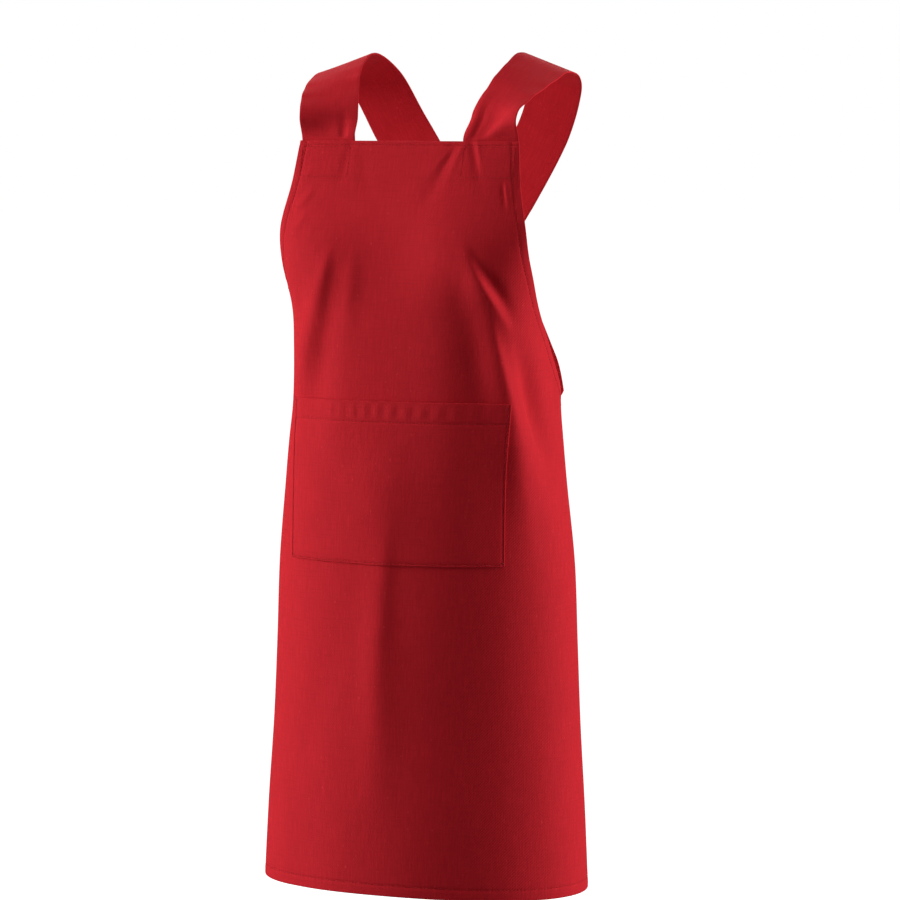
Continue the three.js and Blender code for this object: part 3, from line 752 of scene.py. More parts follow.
def make_side_hems(form, seams, start, material):
    """The hems down each armhole and back edge."""
    sewn = seams.sizes
    spans = {
        "armhole": (form.body.bib_top_drop + start, form.corner - 2 * MM, sewn.armhole_hem, 120),
        "back": (form.corner + sewn.armhole_hem / 2, form.full - start, sewn.back_hem, 130),
    }
    for hand, side in (("left", 1), ("right", -1)):
        for kind, (top, bottom, width, count) in spans.items():
            drop = between(top, bottom, rim_shares(count))[:, None]
            from_side = between(start, width, rim_shares(6))[None]
            around = side * (form.edge(drop) - from_side * form.lean(drop))
            drop = np.broadcast_to(drop, around.shape)
            relief = seams.relief(from_side, FAR, form.full - drop, around, drop)
            name, node = f"twill_{hand}_{kind}_hem", f"{hand}_{kind}_hem"
            make_hem(name, node, form, seams, around, drop, relief, material)


def make_hems(form, seams, material):
    """The hems that are turned inside: across the bib, along the bottom, and down each side."""
    start = seams.rim + 0.4 * MM
    make_level_hems(form, seams, start, material)
    make_side_hems(form, seams, start, material)


class Pocket:
    """The patch pocket: where it lies and how far it stands off the skirt."""

    RADIUS = 0.65 * MM

    # The spot where the mouth stands off furthest, in shares of its width, and how far down the
    # pocket is open.
    FLARE_PLACE = 0.86
    FLARE_WIDTH = 0.12
    FLARE = 1.4 * MM
    OPEN_DEPTH = 60 * MM

    # The puckers of the turned mouth, and where in their pattern its middle lies.
    PUCKER = 0.4 * MM
    PUCKER_WAVE = 15 * MM
    PUCKER_START = 0.31

    def __init__(self, form, seams, sizes):
        self.form, self.seams, self.sizes = form, seams, sizes
        self.top = form.body.bib_top_drop + sizes.drop

    def stand(self, across, down):
        """How far the pocket's inside stands off the skirt."""
        open_share = 1 - smooth(down / self.OPEN_DEPTH)
        mouth = self.sizes.ease * np.sin(math.pi * across)
        mouth = mouth + self.FLARE * bump_across(across - self.FLARE_PLACE, self.FLARE_WIDTH)
        return self.seams.sizes.layer_gap + mouth * open_share

    def relief(self, across, down):
        """The dips along its stitches, and the puckers in its turned mouth."""
        sizes = self.sizes
        way = (across - 0.5) * sizes.width
        from_side = sizes.width / 2 - np.abs(way)
        hem = np.clip(down / sizes.hem, 0, 1)
        waves = roping(way + self.PUCKER_START, self.PUCKER_WAVE)
        puckers = self.PUCKER * waves * np.sin(math.pi * hem) ** 2
        total = puckers + self.seams.groove(down - sizes.hem)
        total = total + self.seams.groove(from_side - sizes.edge_stitch)
        return total + self.seams.groove(sizes.depth - down - sizes.edge_stitch)

    def lift(self, across, down):
        """How far the pocket's outer face lies off the skirt."""
        return self.stand(across, down) + self.relief(across, down) + 2 * self.RADIUS

    def grid(self, columns, rows):
        """Across, as a share, and down over a grid, and the same places around the form and below
        the shoulders."""
        across, down = np.meshgrid(columns / self.sizes.width, rows)
        return across, down, (across - 0.5) * self.sizes.width, self.top + down


def make_pocket_front(pocket, material):
    """The pocket's cloth, with its edges turned under."""
    sizes, radius = pocket.sizes, pocket.RADIUS
    edge, mouth = near_edge(sizes.edge_stitch, radius), near_edge(sizes.hem, radius)
    columns = lines_between(edge, edge, sizes.width, (1.2 * MM, 0.6 * MM), 2.4 * MM)
    rows = lines_between(mouth, edge, sizes.depth, (2.4 * MM, 1 * MM), 2.6 * MM)
    across, down, around, drop = pocket.grid(columns, rows)
    from_side = np.minimum(across, 1 - across) * sizes.width
    distance = np.minimum(from_side, np.minimum(down, sizes.depth - down))
    fall = rounded(distance, radius)
    face = pocket.lift(across, down)
    turned = pocket.stand(across, down) + fall
    inner = turned_under(face - fall, turned, face - pocket.seams.sizes.cloth, distance, 1.5 * radius)
    on_form = pocket.form.face(around, drop)
    return lay_cloth("twill_pocket", "pocket", on_form, around, drop, (face - fall, inner), material)


def make_pocket_mouth(pocket, material):
    """The mouth's turned band, inside the pocket."""
    sizes, sewn = pocket.sizes, pocket.seams.sizes
    inset = 1.8 * pocket.RADIUS
    columns = between(inset, sizes.width - inset, rim_shares(90))
    across, down, around, drop = pocket.grid(columns, between(inset, sizes.hem, rim_shares(12)))
    lifts = one_layer(pocket.lift(across, down) - sewn.cloth - sewn.layer_gap, sewn.cloth)
    on_form = pocket.form.face(around, drop)
    return lay_cloth("twill_pocket_mouth", "pocket_mouth_hem", on_form, around, drop, lifts, material)


def catmull_rom(points, at):
    """Places on a centripetal curve through the points, where at counts the points from 0."""
    p = np.vstack([2 * points[0] - points[1], points, 2 * points[-1] - points[-2]])
    i = np.clip(np.floor(at).astype(int), 0, len(points) - 2)
    w = (at - i)[:, None]
    a, b, c, d = (p[i + k] for k in range(4))
    ab, bc, cd = (np.linalg.norm(y - x, axis=1)[:, None] ** 0.5 for x, y in ((a, b), (b, c), (c, d)))
    leave = ((b - a) / ab - (c - a) / (ab + bc) + (c - b) / bc) * bc
    arrive = ((c - b) / bc - (d - b) / (bc + cd) + (d - c) / cd) * bc
    return (
        b + leave * w + (3 * (c - b) - 2 * leave - arrive) * w**2 + (2 * (b - c) + leave + arrive) * w**3
    )


class Strap:
    """One strap, from its seam inside the bib over the shoulder to the opposite back corner. Side
    is 1 for the strap on the wearer's left shoulder."""

    # The panel and its hem lie over a sewn end, and the tucks rise over this way above the seam.
    SEWN_LAYERS = 2
    TUCK_RISE = 7 * MM

    # Half of this and of the crossing gap is what each strap stands off where they cross.
    CROSSING_STAND = 1.8 * MM

    def __init__(self, form, seams, sizes, side):
        self.form, self.seams, self.sizes, self.side = form, seams, sizes, side
        self.hand = "left" if side > 0 else "right"
        body = form.body
        half = sizes.width / 2 + sizes.inset
        last = ARMHOLE["down"][-1] - ARMHOLE["down"][-2]
        seam_top = form.corner - last * body.armhole_depth
        corner_edge = float(form.edge(form.corner))
        slant = math.atan2(form.corner - seam_top, corner_edge - float(form.edge(seam_top)))
        self.bib_seam = (body.bib_width / 2 - half, body.bib_top_drop, 0.0)
        self.back_seam = (
            corner_edge - math.cos(slant) * half,
            form.corner - math.sin(slant) * half,
            slant,
        )
        # Each end's seam, the side of the cloth it is on, and whether the strap runs along or
        # against the cloth there.
        self.ends = ((self.bib_seam, side, 1), (self.back_seam, -side, -1))
        stations = self.station_points()
        self.count = len(stations)
        inside, none = np.array([0.5 * sizes.insert, 0.0]), np.zeros(2)
        start = self.sewn(self.bib_seam, side, inside, none, none)
        end = self.sewn(self.back_seam, -side, inside[::-1], none, none)
        self.points = np.concatenate([start, stations, end])
        self.turn, self.slope = (
            np.radians(np.concatenate([STRAP_FRONT[k], STRAP_BACK[k]])) for k in ("turn", "slope")
        )

    def station_points(self):
        """The stations of the middle line between the two seams."""
        sizes, form = self.sizes, self.form
        reach = -form.place(np.zeros(1), np.array([form.body.bib_top_drop]))[0, 1]
        stand = self.side * (self.CROSSING_STAND + sizes.crossing_gap) * 0.5
        span = self.side * sizes.shoulder_half_span
        front = [
            (across * span, -before * reach, -down * form.body.bib_top_drop)
            for across, before, down in rows_of(STRAP_FRONT, "across before down")
        ]
        back = [
            (
                across * span,
                behind * sizes.blade_reach + stand * (1 - float(smooth(abs(down - CROSSING_DOWN) * 2))),
                -down * form.corner,
            )
            for across, behind, down in rows_of(STRAP_BACK, "across behind down")
        ]
        return np.array(front + back)

    def seam_place(self, seam, side, inside, offset):
        """Around and drop of a place on a sewn end: inside is the way past the cloth's edge, and
        offset the way from the strap's middle towards the side of the cloth."""
        middle, drop, slant = seam
        around = middle - math.sin(slant) * inside + math.cos(slant) * offset
        return side * around, drop + math.cos(slant) * inside + math.sin(slant) * offset

    def sewn(self, seam, side, inside, offset, lift):
        """Points on a sewn end, under the panel and its hem."""
        around, drop = self.seam_place(seam, side, inside, offset)
        sewn = self.seams.sizes
        face, normal = self.form.face(around, drop)
        return face + normal * (lift - self.SEWN_LAYERS * (sewn.cloth + sewn.layer_gap))[..., None]

    def at(self, row):
        """The middle line. Rows count the stations from 0, so the seams are at -1 and the count."""
        return catmull_rom(self.points, np.asarray(row, float) + 2)

    def directions(self, row):
        """The directions across the strap, towards its outer edge, and out of its face."""
        step = 0.001
        along = self.at(np.minimum(row + step, self.count + 0.999)) - self.at(row - step)
        along /= np.linalg.norm(along, axis=1, keepdims=True)
        at = np.clip(row, 0, self.count - 1)
        i = np.minimum(at.astype(int), self.count - 2)
        t = smooth(at - i)
        turn, slope = (between(a[i], a[i + 1], t) for a in (self.turn, self.slope))
        across = np.stack([self.side * np.cos(turn), -np.sin(turn), -np.sin(slope)], axis=1)
        across -= (across * along).sum(1, keepdims=True) * along
        across /= np.linalg.norm(across, axis=1, keepdims=True)
        return across, np.cross(across, along) * self.side

    def tuck(self, across, past):
        """The folds near the bib, which rise just above the seam and fade further up."""
        sizes = self.sizes
        spans = (np.array([1.0, sizes.tuck_length / sizes.width]), np.zeros(2))
        folds = STRAP_FOLDS[self.hand]
        height = fold_heights(folds, across, past / sizes.width, spans, 1.0, sizes.tuck_height)
        return height * smooth(past / self.TUCK_RISE)

    def points_at(self, row, share_across, lift):
        """Points of the strap's face: row by row, share_across from its inner to its outer edge."""
        sizes = self.sizes
        offset = (share_across - 0.5)[None, :] * sizes.width
        middle = self.at(row)
        across, face = self.directions(row)
        past = np.linalg.norm(middle - self.at([-1.0]), axis=1)
        before = np.linalg.norm(middle - self.at([float(self.count)]), axis=1)
        relief = self.tuck(share_across[None, :], past[:, None]) + lift
        free = middle[:, None] + across[:, None] * offset[..., None] + face[:, None] * relief[..., None]
        for way, (seam, hand, sign) in zip((past, before), self.ends):
            near = way < sizes.seam_blend
            blend = smooth(way[near] / sizes.seam_blend)[:, None, None]
            inside = np.broadcast_to(-way[near][:, None], relief[near].shape)
            aside = sign * np.broadcast_to(offset, relief.shape)[near]
            sewn = self.sewn(seam, hand, inside, aside, relief[near])
            free[near] = between(sewn, free[near], blend)
        return free


# The grid of a strap: its free rows, the columns between its edges, and the rows of a sewn end.
STRAP_ROWS = 260
STRAP_COLUMNS = 27
SEWN_ROWS = 14


def make_strap(strap, material):
    """A strap's band, doubled and pressed, with rounded edges."""
    sizes = strap.sizes
    half = sizes.thickness / 2
    rim = RIM_LINES[:4] * half / sizes.width
    across = np.concatenate([rim, np.linspace(rim[-1], 1 - rim[-1], STRAP_COLUMNS + 2)[1:-1], 1 - rim[::-1]])
    offset = (across - 0.5)[None, :] * sizes.width
    fall = rounded(np.minimum(across, 1 - across) * sizes.width, half)[None, :]
    rows = np.linspace(-1, strap.count, STRAP_ROWS + 1)[1:-1]
    inside = np.linspace(0, sizes.insert, SEWN_ROWS)[:, None]
    faces = []
    for lift in (-fall, -sizes.thickness + fall):
        start, end = (
            strap.sewn(seam, hand, *np.broadcast_arrays(inside, sign * offset, lift))
            for seam, hand, sign in strap.ends
        )
        faces.append(np.concatenate([start[::-1], strap.points_at(rows, across, lift), end]))
    outer, inner = faces
    for row in (0, -1):
        outer[row] = inner[row] = (outer[row] + inner[row]) / 2
    way = np.linalg.norm(np.diff(outer[:, len(across) // 2], axis=0), axis=1)
    along = np.concatenate([[0], np.cumsum(way)])[:, None]
    place = flat_place((across * sizes.width)[None, :], along)
    zeros, ones = np.zeros(outer.shape[:2]), np.ones(outer.shape[:2])
    piece = new_sheet(f"twill_{strap.hand}_strap", outer, inner - outer, zeros, ones, material, place)
    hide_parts(f"{strap.hand}_strap")


# One stitch, with its ends dipping into the cloth: the place along it as a share of its length,
# and its thickness and height over the cloth as shares of the thread's thickness.
STITCH_RINGS = table(
    "along thickness height",
    (-0.5, 0.25, -0.5),
    (-0.42, 0.8, -0.1),
    (-0.2, 1.0, 0.35),
    (0.2, 1.0, 0.35),
    (0.42, 0.8, -0.1),
    (0.5, 0.25, -0.5),
)
STITCH_SIDES = 6


def stitch_shape(stitch_length, thread):
    """The corners and faces of one stitch."""
    turn = 2 * math.pi * np.arange(STITCH_SIDES) / STITCH_SIDES
    corners, faces = [], []
    for along, thickness, height in rows_of(STITCH_RINGS, "along thickness height"):
        r = 0.5 * thread * thickness
        ring = [(along * stitch_length, r * math.cos(a), r * math.sin(a) + height * thread) for a in turn]
        corners.extend(ring)
    last = len(corners) - STITCH_SIDES
    for ring in range(0, last, STITCH_SIDES):
        for k in range(STITCH_SIDES):
            a, b = ring + k, ring + (k + 1) % STITCH_SIDES
            faces.append((a, a + STITCH_SIDES, b + STITCH_SIDES, b))
    caps = [range(STITCH_SIDES), range(last + STITCH_SIDES - 1, last - 1, -1)]
    return np.array(corners), faces + caps


def along_path(points, pitch):
    """Evenly spaced middles and directions along a line of points."""
    steps = np.linalg.norm(np.diff(points, axis=0), axis=1)
    way = np.concatenate([[0], np.cumsum(steps)])
    count = max(1, int(way[-1] / pitch))
    at = (np.arange(count) + 0.5) * way[-1] / count
    middle = np.stack([np.interp(at, way, points[:, k]) for k in range(3)], axis=1)
    ahead = np.stack([np.interp(at + pitch / 3, way, points[:, k]) for k in range(3)], axis=1)
    behind = np.stack([np.interp(at - pitch / 3, way, points[:, k]) for k in range(3)], axis=1)
    along = ahead - behind
    return middle, along / np.linalg.norm(along, axis=1, keepdims=True), at / way[-1]


def make_stitching(name, lines, seams, material):
    """Rows of stitches as one mesh. Each line is its points and the directions out of the cloth."""
    sewn = seams.sizes
    shape, shape_faces = stitch_shape(sewn.stitch, sewn.thread)
    corners, faces = [], []
    for points, normals in lines:
        middle, along, at = along_path(points, sewn.stitch + sewn.stitch_gap)
        count = np.arange(len(points))
        normal = np.stack([np.interp(at * count[-1], count, normals[:, k]) for k in range(3)], axis=1)
        normal -= (normal * along).sum(1, keepdims=True) * along
        normal /= np.linalg.norm(normal, axis=1, keepdims=True)
        across = np.cross(normal, along)
        for m, x, y, z in zip(middle, along, across, normal):
            start = len(corners) * len(shape)
            corners.append(m + shape[:, :1] * x + shape[:, 1:2] * y + shape[:, 2:] * z)
            faces.extend([tuple(start + k for k in face) for face in shape_faces])
    return new_piece(name, np.concatenate(corners), faces, material)


def panel_line(form, around, drop, lift):
    """A line of points on the panel, lifted off its face, with the directions out of it."""
    around, drop = np.broadcast_arrays(np.asarray(around, float), np.asarray(drop, float))
    middle, normal = form.face(around, form.follow_hem(around, drop))
    return middle + normal * np.asarray(lift)[..., None], normal


# How far a thread stands out of its groove, and over the panel in the box that holds a strap.
THREAD_RISE = 0.1 * MM
BOX_THREAD_RISE = 0.05 * MM


def hem_lines(form, seams):
    """The rows of stitches round the panel's edges."""
    body, sewn = form.body, seams.sizes
    sink = seams.GROOVE_DEPTH - THREAD_RISE
    lines = []
    for from_top in (sewn.top_stitch, sewn.bib_hem):
        drop = body.bib_top_drop + from_top
        reach = float(form.edge(drop)) - 1 * MM
        lines.append(panel_line(form, np.linspace(-reach, reach, 150), drop, np.full(150, -sink)))
    drop = form.full - seams.skirt_line
    reach = float(form.edge(drop)) - 2 * MM
    around = np.linspace(-reach, reach, 300)
    lines.append(panel_line(form, around, drop, -sink + seams.bottom_ropes(seams.skirt_line, around)))
    drop = np.concatenate([
        np.linspace(body.bib_top_drop + 1 * MM, form.corner, 240),
        np.linspace(form.corner + 3 * MM, form.full - 2 * MM, 220),
    ])
    line = seams.side_line(drop)
    for side in (1, -1):
        around = side * (form.edge(drop) - line * form.lean(drop))
        lines.append(panel_line(form, around, drop, -sink + seams.ropes(line, line, drop)))
    return lines


# The bar tacks at the mouth's corners: short rows of stitches close below each other.
TACK_ROWS = 9
TACK_TOP = 1.5 * MM
TACK_STEP = 0.7 * MM
TACK_WIDTH = 3.5 * MM


def pocket_stitches(pocket):
    """The rows of stitches round the pocket, across its mouth, and the bar tacks at its corners."""
    sizes, form = pocket.sizes, pocket.form
    aside, top, bottom = sizes.width / 2 - sizes.edge_stitch, 2 * MM, sizes.depth - sizes.edge_stitch
    routes = [
        [(-aside, top), (-aside, bottom), (aside, bottom), (aside, top)],
        [(-aside, sizes.hem), (aside, sizes.hem)],
    ]
    for side in (-1, 1):
        for down in TACK_TOP + TACK_STEP * np.arange(TACK_ROWS):
            routes.append([(side * aside, down), (side * (aside - TACK_WIDTH), down)])
    lines = []
    for route in routes:
        way, down = (np.array(part) for part in zip(*route))
        steps = np.concatenate([[0], np.cumsum(np.hypot(np.diff(way), np.diff(down)))])
        at = np.linspace(0, steps[-1], max(2, int(steps[-1] / (2 * MM))))
        way, down = np.interp(at, steps, way), np.interp(at, steps, down)
        across = way / sizes.width + 0.5
        lines.append(panel_line(form, way, pocket.top + down, pocket.lift(across, down) + THREAD_RISE))
    return lines


def strap_box_lines(strap):
    """The stitched box that holds each end of a strap."""
    sizes, margin = strap.sizes, 3 * MM
    half, near, far = sizes.width / 2 - margin, 2 * margin, sizes.insert - margin
    box = [(near, -half), (near, half), (far, half), (far, -half), (near, -half)]
    t = np.linspace(0, 1, 30)
    lines = []
    for seam, hand, _ in strap.ends:
        for a, b in zip(box[:-1], box[1:]):
            around, drop = strap.seam_place(seam, hand, between(a[0], b[0], t), between(a[1], b[1], t))
            lines.append(panel_line(strap.form, around, drop, np.full(len(t), BOX_THREAD_RISE)))
    return lines


def shader(name, base, roughness, sheen):
    """A material with a plain cloth shader, with its tree and its shader node."""
    material = bpy.data.materials.new(name)
    material.use_nodes = True
    tree = material.node_tree
    cloth = tree.nodes["Principled BSDF"]
    cloth.inputs["Base Color"].default_value = (*base, 1)
    cloth.inputs["Roughness"].default_value = roughness
    cloth.inputs["Sheen Weight"].default_value = sheen
    cloth.inputs["Sheen Roughness"].default_value = 0.5
    cloth.inputs["Sheen Tint"].default_value = (1.0, 0.55, 0.5, 1)
    cloth.inputs["Specular IOR Level"].default_value = 0.15
    return material, tree, cloth


def scaled(tree, source, scale, turn=0.0):
    """The flat cloth's places, turned and scaled."""
    mapping = tree.nodes.new("ShaderNodeMapping")
    mapping.inputs["Scale"].default_value = scale
    mapping.inputs["Rotation"].default_value = (0, 0, turn)
    tree.links.new(source, mapping.inputs["Vector"])
    return mapping.outputs["Vector"]


def noise(tree, place, detail):
    """Soft noise over some places."""
    node = tree.nodes.new("ShaderNodeTexNoise")
    node.inputs["Scale"].default_value = 1.0
    node.inputs["Detail"].default_value = detail
    tree.links.new(place, node.inputs["Vector"])
    return node.outputs["Fac"]


def ramp(tree, value, low, high, to_low=0.0, to_high=1.0):
    """A value stretched from one span to another."""
    node = tree.nodes.new("ShaderNodeMapRange")
    node.interpolation_type = "SMOOTHSTEP"
    for socket, number in (("From Min", low), ("From Max", high), ("To Min", to_low), ("To Max", to_high)):
        node.inputs[socket].default_value = number
    tree.links.new(value, node.inputs["Value"])
    return node.outputs["Result"]


# A mix node has sockets of the same names for each kind of value. These are a colour's.
MIX_SHARE, MIX_FIRST, MIX_SECOND, MIX_RESULT = 0, 6, 7, 2


def mix_colour(tree, share_of_second, first, second):
    """One colour laid over another by a share. Each is a colour or a socket."""
    node = tree.nodes.new("ShaderNodeMix")
    node.data_type = "RGBA"
    for socket, value in ((node.inputs[MIX_FIRST], first), (node.inputs[MIX_SECOND], second)):
        if isinstance(value, bpy.types.NodeSocket):
            tree.links.new(value, socket)
        else:
            socket.default_value = (*value, 1)
    tree.links.new(share_of_second, node.inputs[MIX_SHARE])
    return node.outputs[MIX_RESULT]


def add_values(tree, first, second, weight):
    """First plus weight times second."""
    node = tree.nodes.new("ShaderNodeMath")
    node.operation = "MULTIPLY_ADD"
    tree.links.new(second, node.inputs[0])
    node.inputs[1].default_value = weight
    tree.links.new(first, node.inputs[2])
    return node.outputs[0]


# The cloth's unevenness: how often it changes per metre across and down, and its detail.
YARN_NOISE = table(
    "across down detail",
    (760, 46, 3.0),
    (40, 620, 2.0),
    (22, 9, 3.0),
    (330, 240, 0.0),
)

# The way from band to band of the wave texture, and the wales' turn from the cloth's length.
WAVE_BAND = 2 * math.pi / 20
WALE_TURN = math.radians(63)


def twill_material(looks):
    """Red cotton twill: fine diagonal wales, yarns of uneven thickness and colour, a little nap."""
    material, tree, cloth = shader("red_twill", looks.cloth, 0.82, looks.sheen)
    place = tree.nodes.new("ShaderNodeAttribute")
    place.attribute_name = "cloth_place"
    flat = place.outputs["Vector"]
    warp, weft, mottle, lint = (
        noise(tree, scaled(tree, flat, (across, down, 1)), detail)
        for across, down, detail in rows_of(YARN_NOISE, "across down detail")
    )
    yarn = mix_colour(tree, ramp(tree, warp, 0.35, 0.75), looks.cloth, looks.faded)
    dark = tuple(0.86 * c for c in looks.cloth)
    yarn = mix_colour(tree, ramp(tree, weft, 0.48, 0.72, 0.0, 0.4), yarn, dark)
    yarn = mix_colour(tree, ramp(tree, mottle, 0.4, 0.7, 0.0, 0.22), yarn, dark)
    pale = tuple(min(1.0, 1.25 * c + 0.03) for c in looks.faded)
    yarn = mix_colour(tree, ramp(tree, lint, 0.76, 0.86, 0.0, 0.3), yarn, pale)
    tree.links.new(yarn, cloth.inputs["Base Color"])
    wales = tree.nodes.new("ShaderNodeTexWave")
    wales.wave_type = "BANDS"
    wales.bands_direction = "X"
    wales.inputs["Scale"].default_value = 1.0
    wales.inputs["Distortion"].default_value = 1.2
    wales.inputs["Detail Scale"].default_value = 1.5
    turned = scaled(tree, flat, (1, 1, 1), WALE_TURN)
    tree.links.new(scaled(tree, turned, (WAVE_BAND / looks.wale,) * 3), wales.inputs["Vector"])
    height = add_values(tree, add_values(tree, wales.outputs["Fac"], warp, 1.1), weft, 0.7)
    bump = tree.nodes.new("ShaderNodeBump")
    bump.inputs["Distance"].default_value = 0.00016
    bump.inputs["Strength"].default_value = 0.8
    tree.links.new(height, bump.inputs["Height"])
    tree.links.new(bump.outputs["Normal"], cloth.inputs["Normal"])
    return material


def thread_material(looks):
    """Polyester sewing thread, a little glossier than the cloth, with its twist."""
    material, tree, cloth = shader("red_thread", looks.thread, 0.55, 0.1)
    where = tree.nodes.new("ShaderNodeTexCoord")
    twist = noise(tree, scaled(tree, where.outputs["Object"], (2600, 2600, 2600)), 1.0)
    dark = tuple(0.7 * c for c in looks.thread)
    ply = mix_colour(tree, ramp(tree, twist, 0.4, 0.7), looks.thread, dark)
    tree.links.new(ply, cloth.inputs["Base Color"])
    bump = tree.nodes.new("ShaderNodeBump")
    bump.inputs["Distance"].default_value = 0.00005
    tree.links.new(twist, bump.inputs["Height"])
    tree.links.new(bump.outputs["Normal"], cloth.inputs["Normal"])
    return material


def material_named(name, context):
    """The twill or the thread, made once."""
    found = bpy.data.materials.get(name)
    if found:
        return found
    makers = {"red_twill": twill_material, "red_thread": thread_material}
    return makers[name](context.scene.apron_looks)


# Soft boxes: the turn from the camera's direction towards the picture's right and the lift above
# the level, in degrees, their sizes and distance in metres and their share of the power.
LIGHTS = table(
    "turn lift width height distance power",
    (-88, 5, 1.1, 2.2, 2.2, 0.41),
    (-85, 32, 1.2, 1.2, 2.2, 0.16),
    (84, 5, 1.1, 2.2, 2.2, 0.52),
    (20, 80, 1.5, 1.5, 2.2, 0.08),
    (180, 25, 1.5, 1.5, 2.6, 0.25),
)

# What the lights face, in metres.
APRON_MIDDLE = Vector((0, -0.05, -0.42))

# The floor's disc, in metres.
FLOOR_RADIUS = 40.0
FLOOR_SIDES = 96

# The camera: its height, its lens and sensor in millimetres, and how far it looks down and aside.
CAMERA_HEIGHT = -20 * MM
CAMERA_LENS = 160
SENSOR_WIDTH = 36
CAMERA_PITCH = math.radians(5.197)
CAMERA_YAW = math.radians(-0.064)


def make_floor(studio):
    """A wide pale floor, bright enough to run into the backdrop."""
    material, _, surface = shader("pale_floor", studio.floor, 0.9, 0.0)
    surface.inputs["Emission Color"].default_value = (1, 1, 1, 1)
    surface.inputs["Emission Strength"].default_value = 1.0
    turn = 2 * math.pi * np.arange(FLOOR_SIDES) / FLOOR_SIDES
    corners = [(FLOOR_RADIUS * math.cos(a), FLOOR_RADIUS * math.sin(a), -studio.floor_drop) for a in turn]
    mesh = bpy.data.meshes.new("floor")
    mesh.from_pydata(corners, [], [tuple(range(FLOOR_SIDES))])
    mesh.materials.append(material)
    floor = bpy.data.objects.new("floor", mesh)
    bpy.context.scene.collection.objects.link(floor)
    floor.visible_diffuse = False
    floor.visible_glossy = False


def make_world(studio):
    """An even white surround that lights the apron softly."""
    world = bpy.data.worlds.new("studio")
    bpy.context.scene.world = world
    world.use_nodes = True
    tree = world.node_tree
    light = tree.nodes["Background"]
    light.inputs["Color"].default_value = (1, 1, 1, 1)
    light.inputs["Strength"].default_value = studio.ambient
    backdrop = tree.nodes.new("ShaderNodeBackground")
    backdrop.inputs["Color"].default_value = (1, 1, 1, 1)
    backdrop.inputs["Strength"].default_value = 1.0
    path = tree.nodes.new("ShaderNodeLightPath")
    mix = tree.nodes.new("ShaderNodeMixShader")
    tree.links.new(path.outputs["Is Camera Ray"], mix.inputs[0])
    tree.links.new(light.outputs[0], mix.inputs[1])
    tree.links.new(backdrop.outputs[0], mix.inputs[2])
    tree.links.new(mix.outputs[0], tree.nodes["World Output"].inputs["Surface"])


def make_light(studio, turn, lift, width, height, distance, power):
    """One soft box that faces the apron's middle."""
    data = bpy.data.lights.new("soft_box", "AREA")
    data.shape = "RECTANGLE"
    data.size, data.size_y = width, height
    data.energy = power * studio.light
    box = bpy.data.objects.new("soft_box", data)
    turn, lift = studio.camera_turn + math.radians(turn), math.radians(lift)
    level = math.cos(lift)
    away = Vector((math.sin(turn) * level, -math.cos(turn) * level, math.sin(lift)))
    box.location = APRON_MIDDLE + away * distance
    box.rotation_euler = away.to_track_quat("Z", "Y").to_euler()
    box.visible_camera = False
    bpy.context.scene.collection.objects.link(box)


def make_camera(studio):
    """The camera, a long lens at the height of the shoulders, turned to the wearer's left."""
    data = bpy.data.cameras.new("camera")
    data.lens = CAMERA_LENS
    data.sensor_width = SENSOR_WIDTH
    data.clip_end = 5 * FLOOR_RADIUS
    camera = bpy.data.objects.new("camera", data)
    turn, distance = studio.camera_turn, studio.camera_distance
    camera.location = (math.sin(turn) * distance, -math.cos(turn) * distance, CAMERA_HEIGHT)
    camera.rotation_euler = Euler((math.pi / 2 - CAMERA_PITCH, 0, turn + CAMERA_YAW))
    bpy.context.scene.collection.objects.link(camera)
    bpy.context.scene.camera = camera


def form_and_seams(context):
    """The worn form and its seams, from the sizes in the sidebar."""
    form = WornForm(context.scene.apron_body)
    return form, Seams(form, context.scene.apron_seams)


class APRON_OT_hems(bpy.types.Operator):
    """Make the hems that are turned inside, and their stitching"""

    bl_idname = "apron.hems"
    bl_label = "Hems"

    def execute(self, context):
        form, seams = form_and_seams(context)
        make_hems(form, seams, material_named("red_twill", context))
        make_stitching("stitches_hems", hem_lines(form, seams), seams, material_named("red_thread", context))
        return {"FINISHED"}


class APRON_OT_straps(bpy.types.Operator):
    """Make the two straps, which cross behind, and the stitched boxes at their ends"""

    bl_idname = "apron.straps"
    bl_label = "Straps"

    def execute(self, context):
        form, seams = form_and_seams(context)
        lines = []
        for side in (1, -1):
            strap = Strap(form, seams, context.scene.apron_straps, side)
            make_strap(strap, material_named("red_twill", context))
            lines += strap_box_lines(strap)
        make_stitching("stitches_strap_boxes", lines, seams, material_named("red_thread", context))
        return {"FINISHED"}


class APRON_OT_pocket(bpy.types.Operator):
    """Make the patch pocket, its turned mouth and its stitching"""

    bl_idname = "apron.pocket"
    bl_label = "Pocket"

    def execute(self, context):
        form, seams = form_and_seams(context)
        pocket = Pocket(form, seams, context.scene.apron_pocket)
        twill = material_named("red_twill", context)
        front, mouth = make_pocket_front(pocket, twill), make_pocket_mouth(pocket, twill)
        lines = pocket_stitches(pocket)
        thread = make_stitching("stitches_pocket", lines, seams, material_named("red_thread", context))
        return {"FINISHED"}


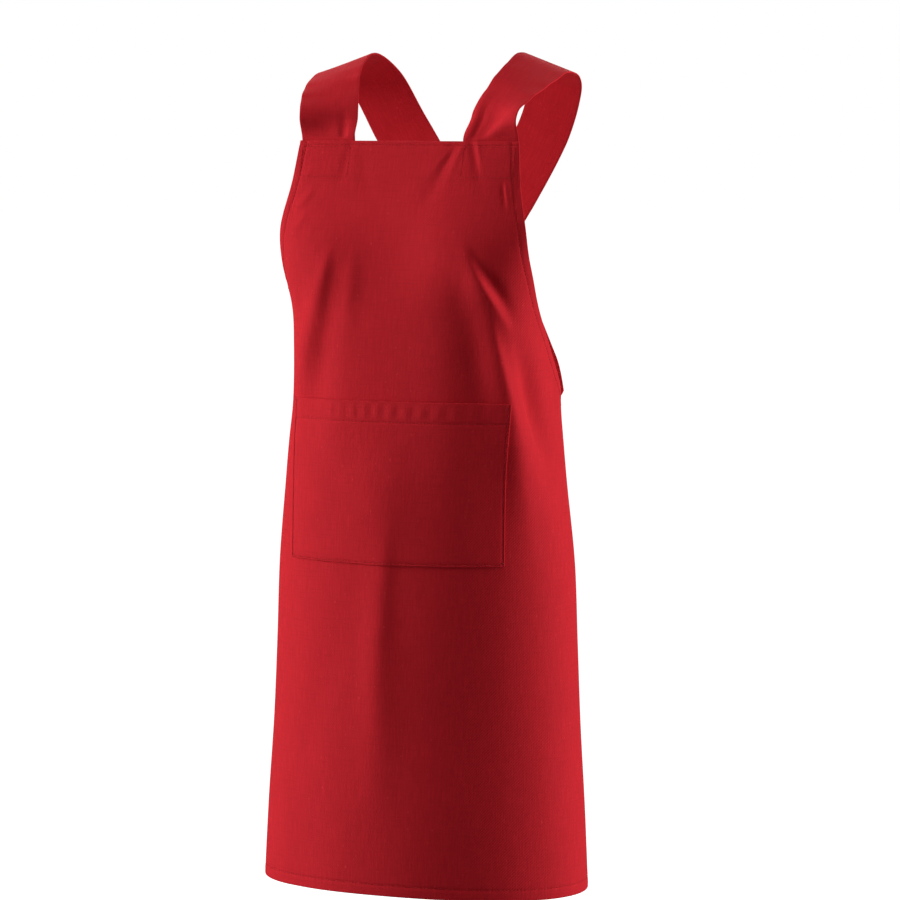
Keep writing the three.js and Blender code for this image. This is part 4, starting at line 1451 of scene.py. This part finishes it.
class APRON_OT_panel(bpy.types.Operator):
    """Make the bib and skirt, cut in one piece"""

    bl_idname = "apron.panel"
    bl_label = "Bib and skirt"

    def execute(self, context):
        form, seams = form_and_seams(context)
        piece = make_panel(form, seams, material_named("red_twill", context))
        drop = np.linspace(form.body.bib_top_drop, form.full, 400)
        width = 2 * form.edge(drop)
        return {"FINISHED"}


class APRON_OT_stage(bpy.types.Operator):
    """Make the floor, the lights and the camera"""

    bl_idname = "apron.stage"
    bl_label = "Stage"

    def execute(self, context):
        studio = context.scene.apron_studio
        make_floor(studio)
        make_world(studio)
        for light in zip(*LIGHTS.values()):
            make_light(studio, *map(float, light))
        make_camera(studio)
        context.scene.view_settings.view_transform = "Standard"
        return {"FINISHED"}


class VIEW3D_PT_apron(bpy.types.Panel):
    """Sizes, colours and the steps that make the apron."""

    bl_label = "Cross back apron"
    bl_idname = "VIEW3D_PT_apron"
    bl_space_type = "VIEW_3D"
    bl_region_type = "UI"
    bl_category = "Apron"

    def draw(self, context):
        layout = self.layout
        for operator in STEPS:
            layout.operator(operator.bl_idname)
        for group in GROUPS:
            box = layout.box()
            settings = getattr(context.scene, group)
            for name in settings.bl_rna.properties.keys():
                if name not in ("rna_type", "name"):
                    box.prop(settings, name)


STEPS = (APRON_OT_hems, APRON_OT_straps, APRON_OT_pocket, APRON_OT_panel, APRON_OT_stage)


def register():
    """Register the property groups, the operators and the panel."""
    for kind in (*GROUPS.values(), *STEPS, VIEW3D_PT_apron):
        bpy.utils.register_class(kind)
    for name, group in GROUPS.items():
        setattr(bpy.types.Scene, name, bpy.props.PointerProperty(type=group))


def unregister():
    """Take away what register added."""
    for name in GROUPS:
        delattr(bpy.types.Scene, name)
    for kind in reversed((*GROUPS.values(), *STEPS, VIEW3D_PT_apron)):
        bpy.utils.unregister_class(kind)


def main():
    """Make the apron and its stage, step by step."""
    register()
    bpy.ops.apron.hems()
    bpy.ops.apron.straps()
    bpy.ops.apron.pocket()
    bpy.ops.apron.panel()
    bpy.ops.apron.stage()


if __name__ == "__main__":
    main()
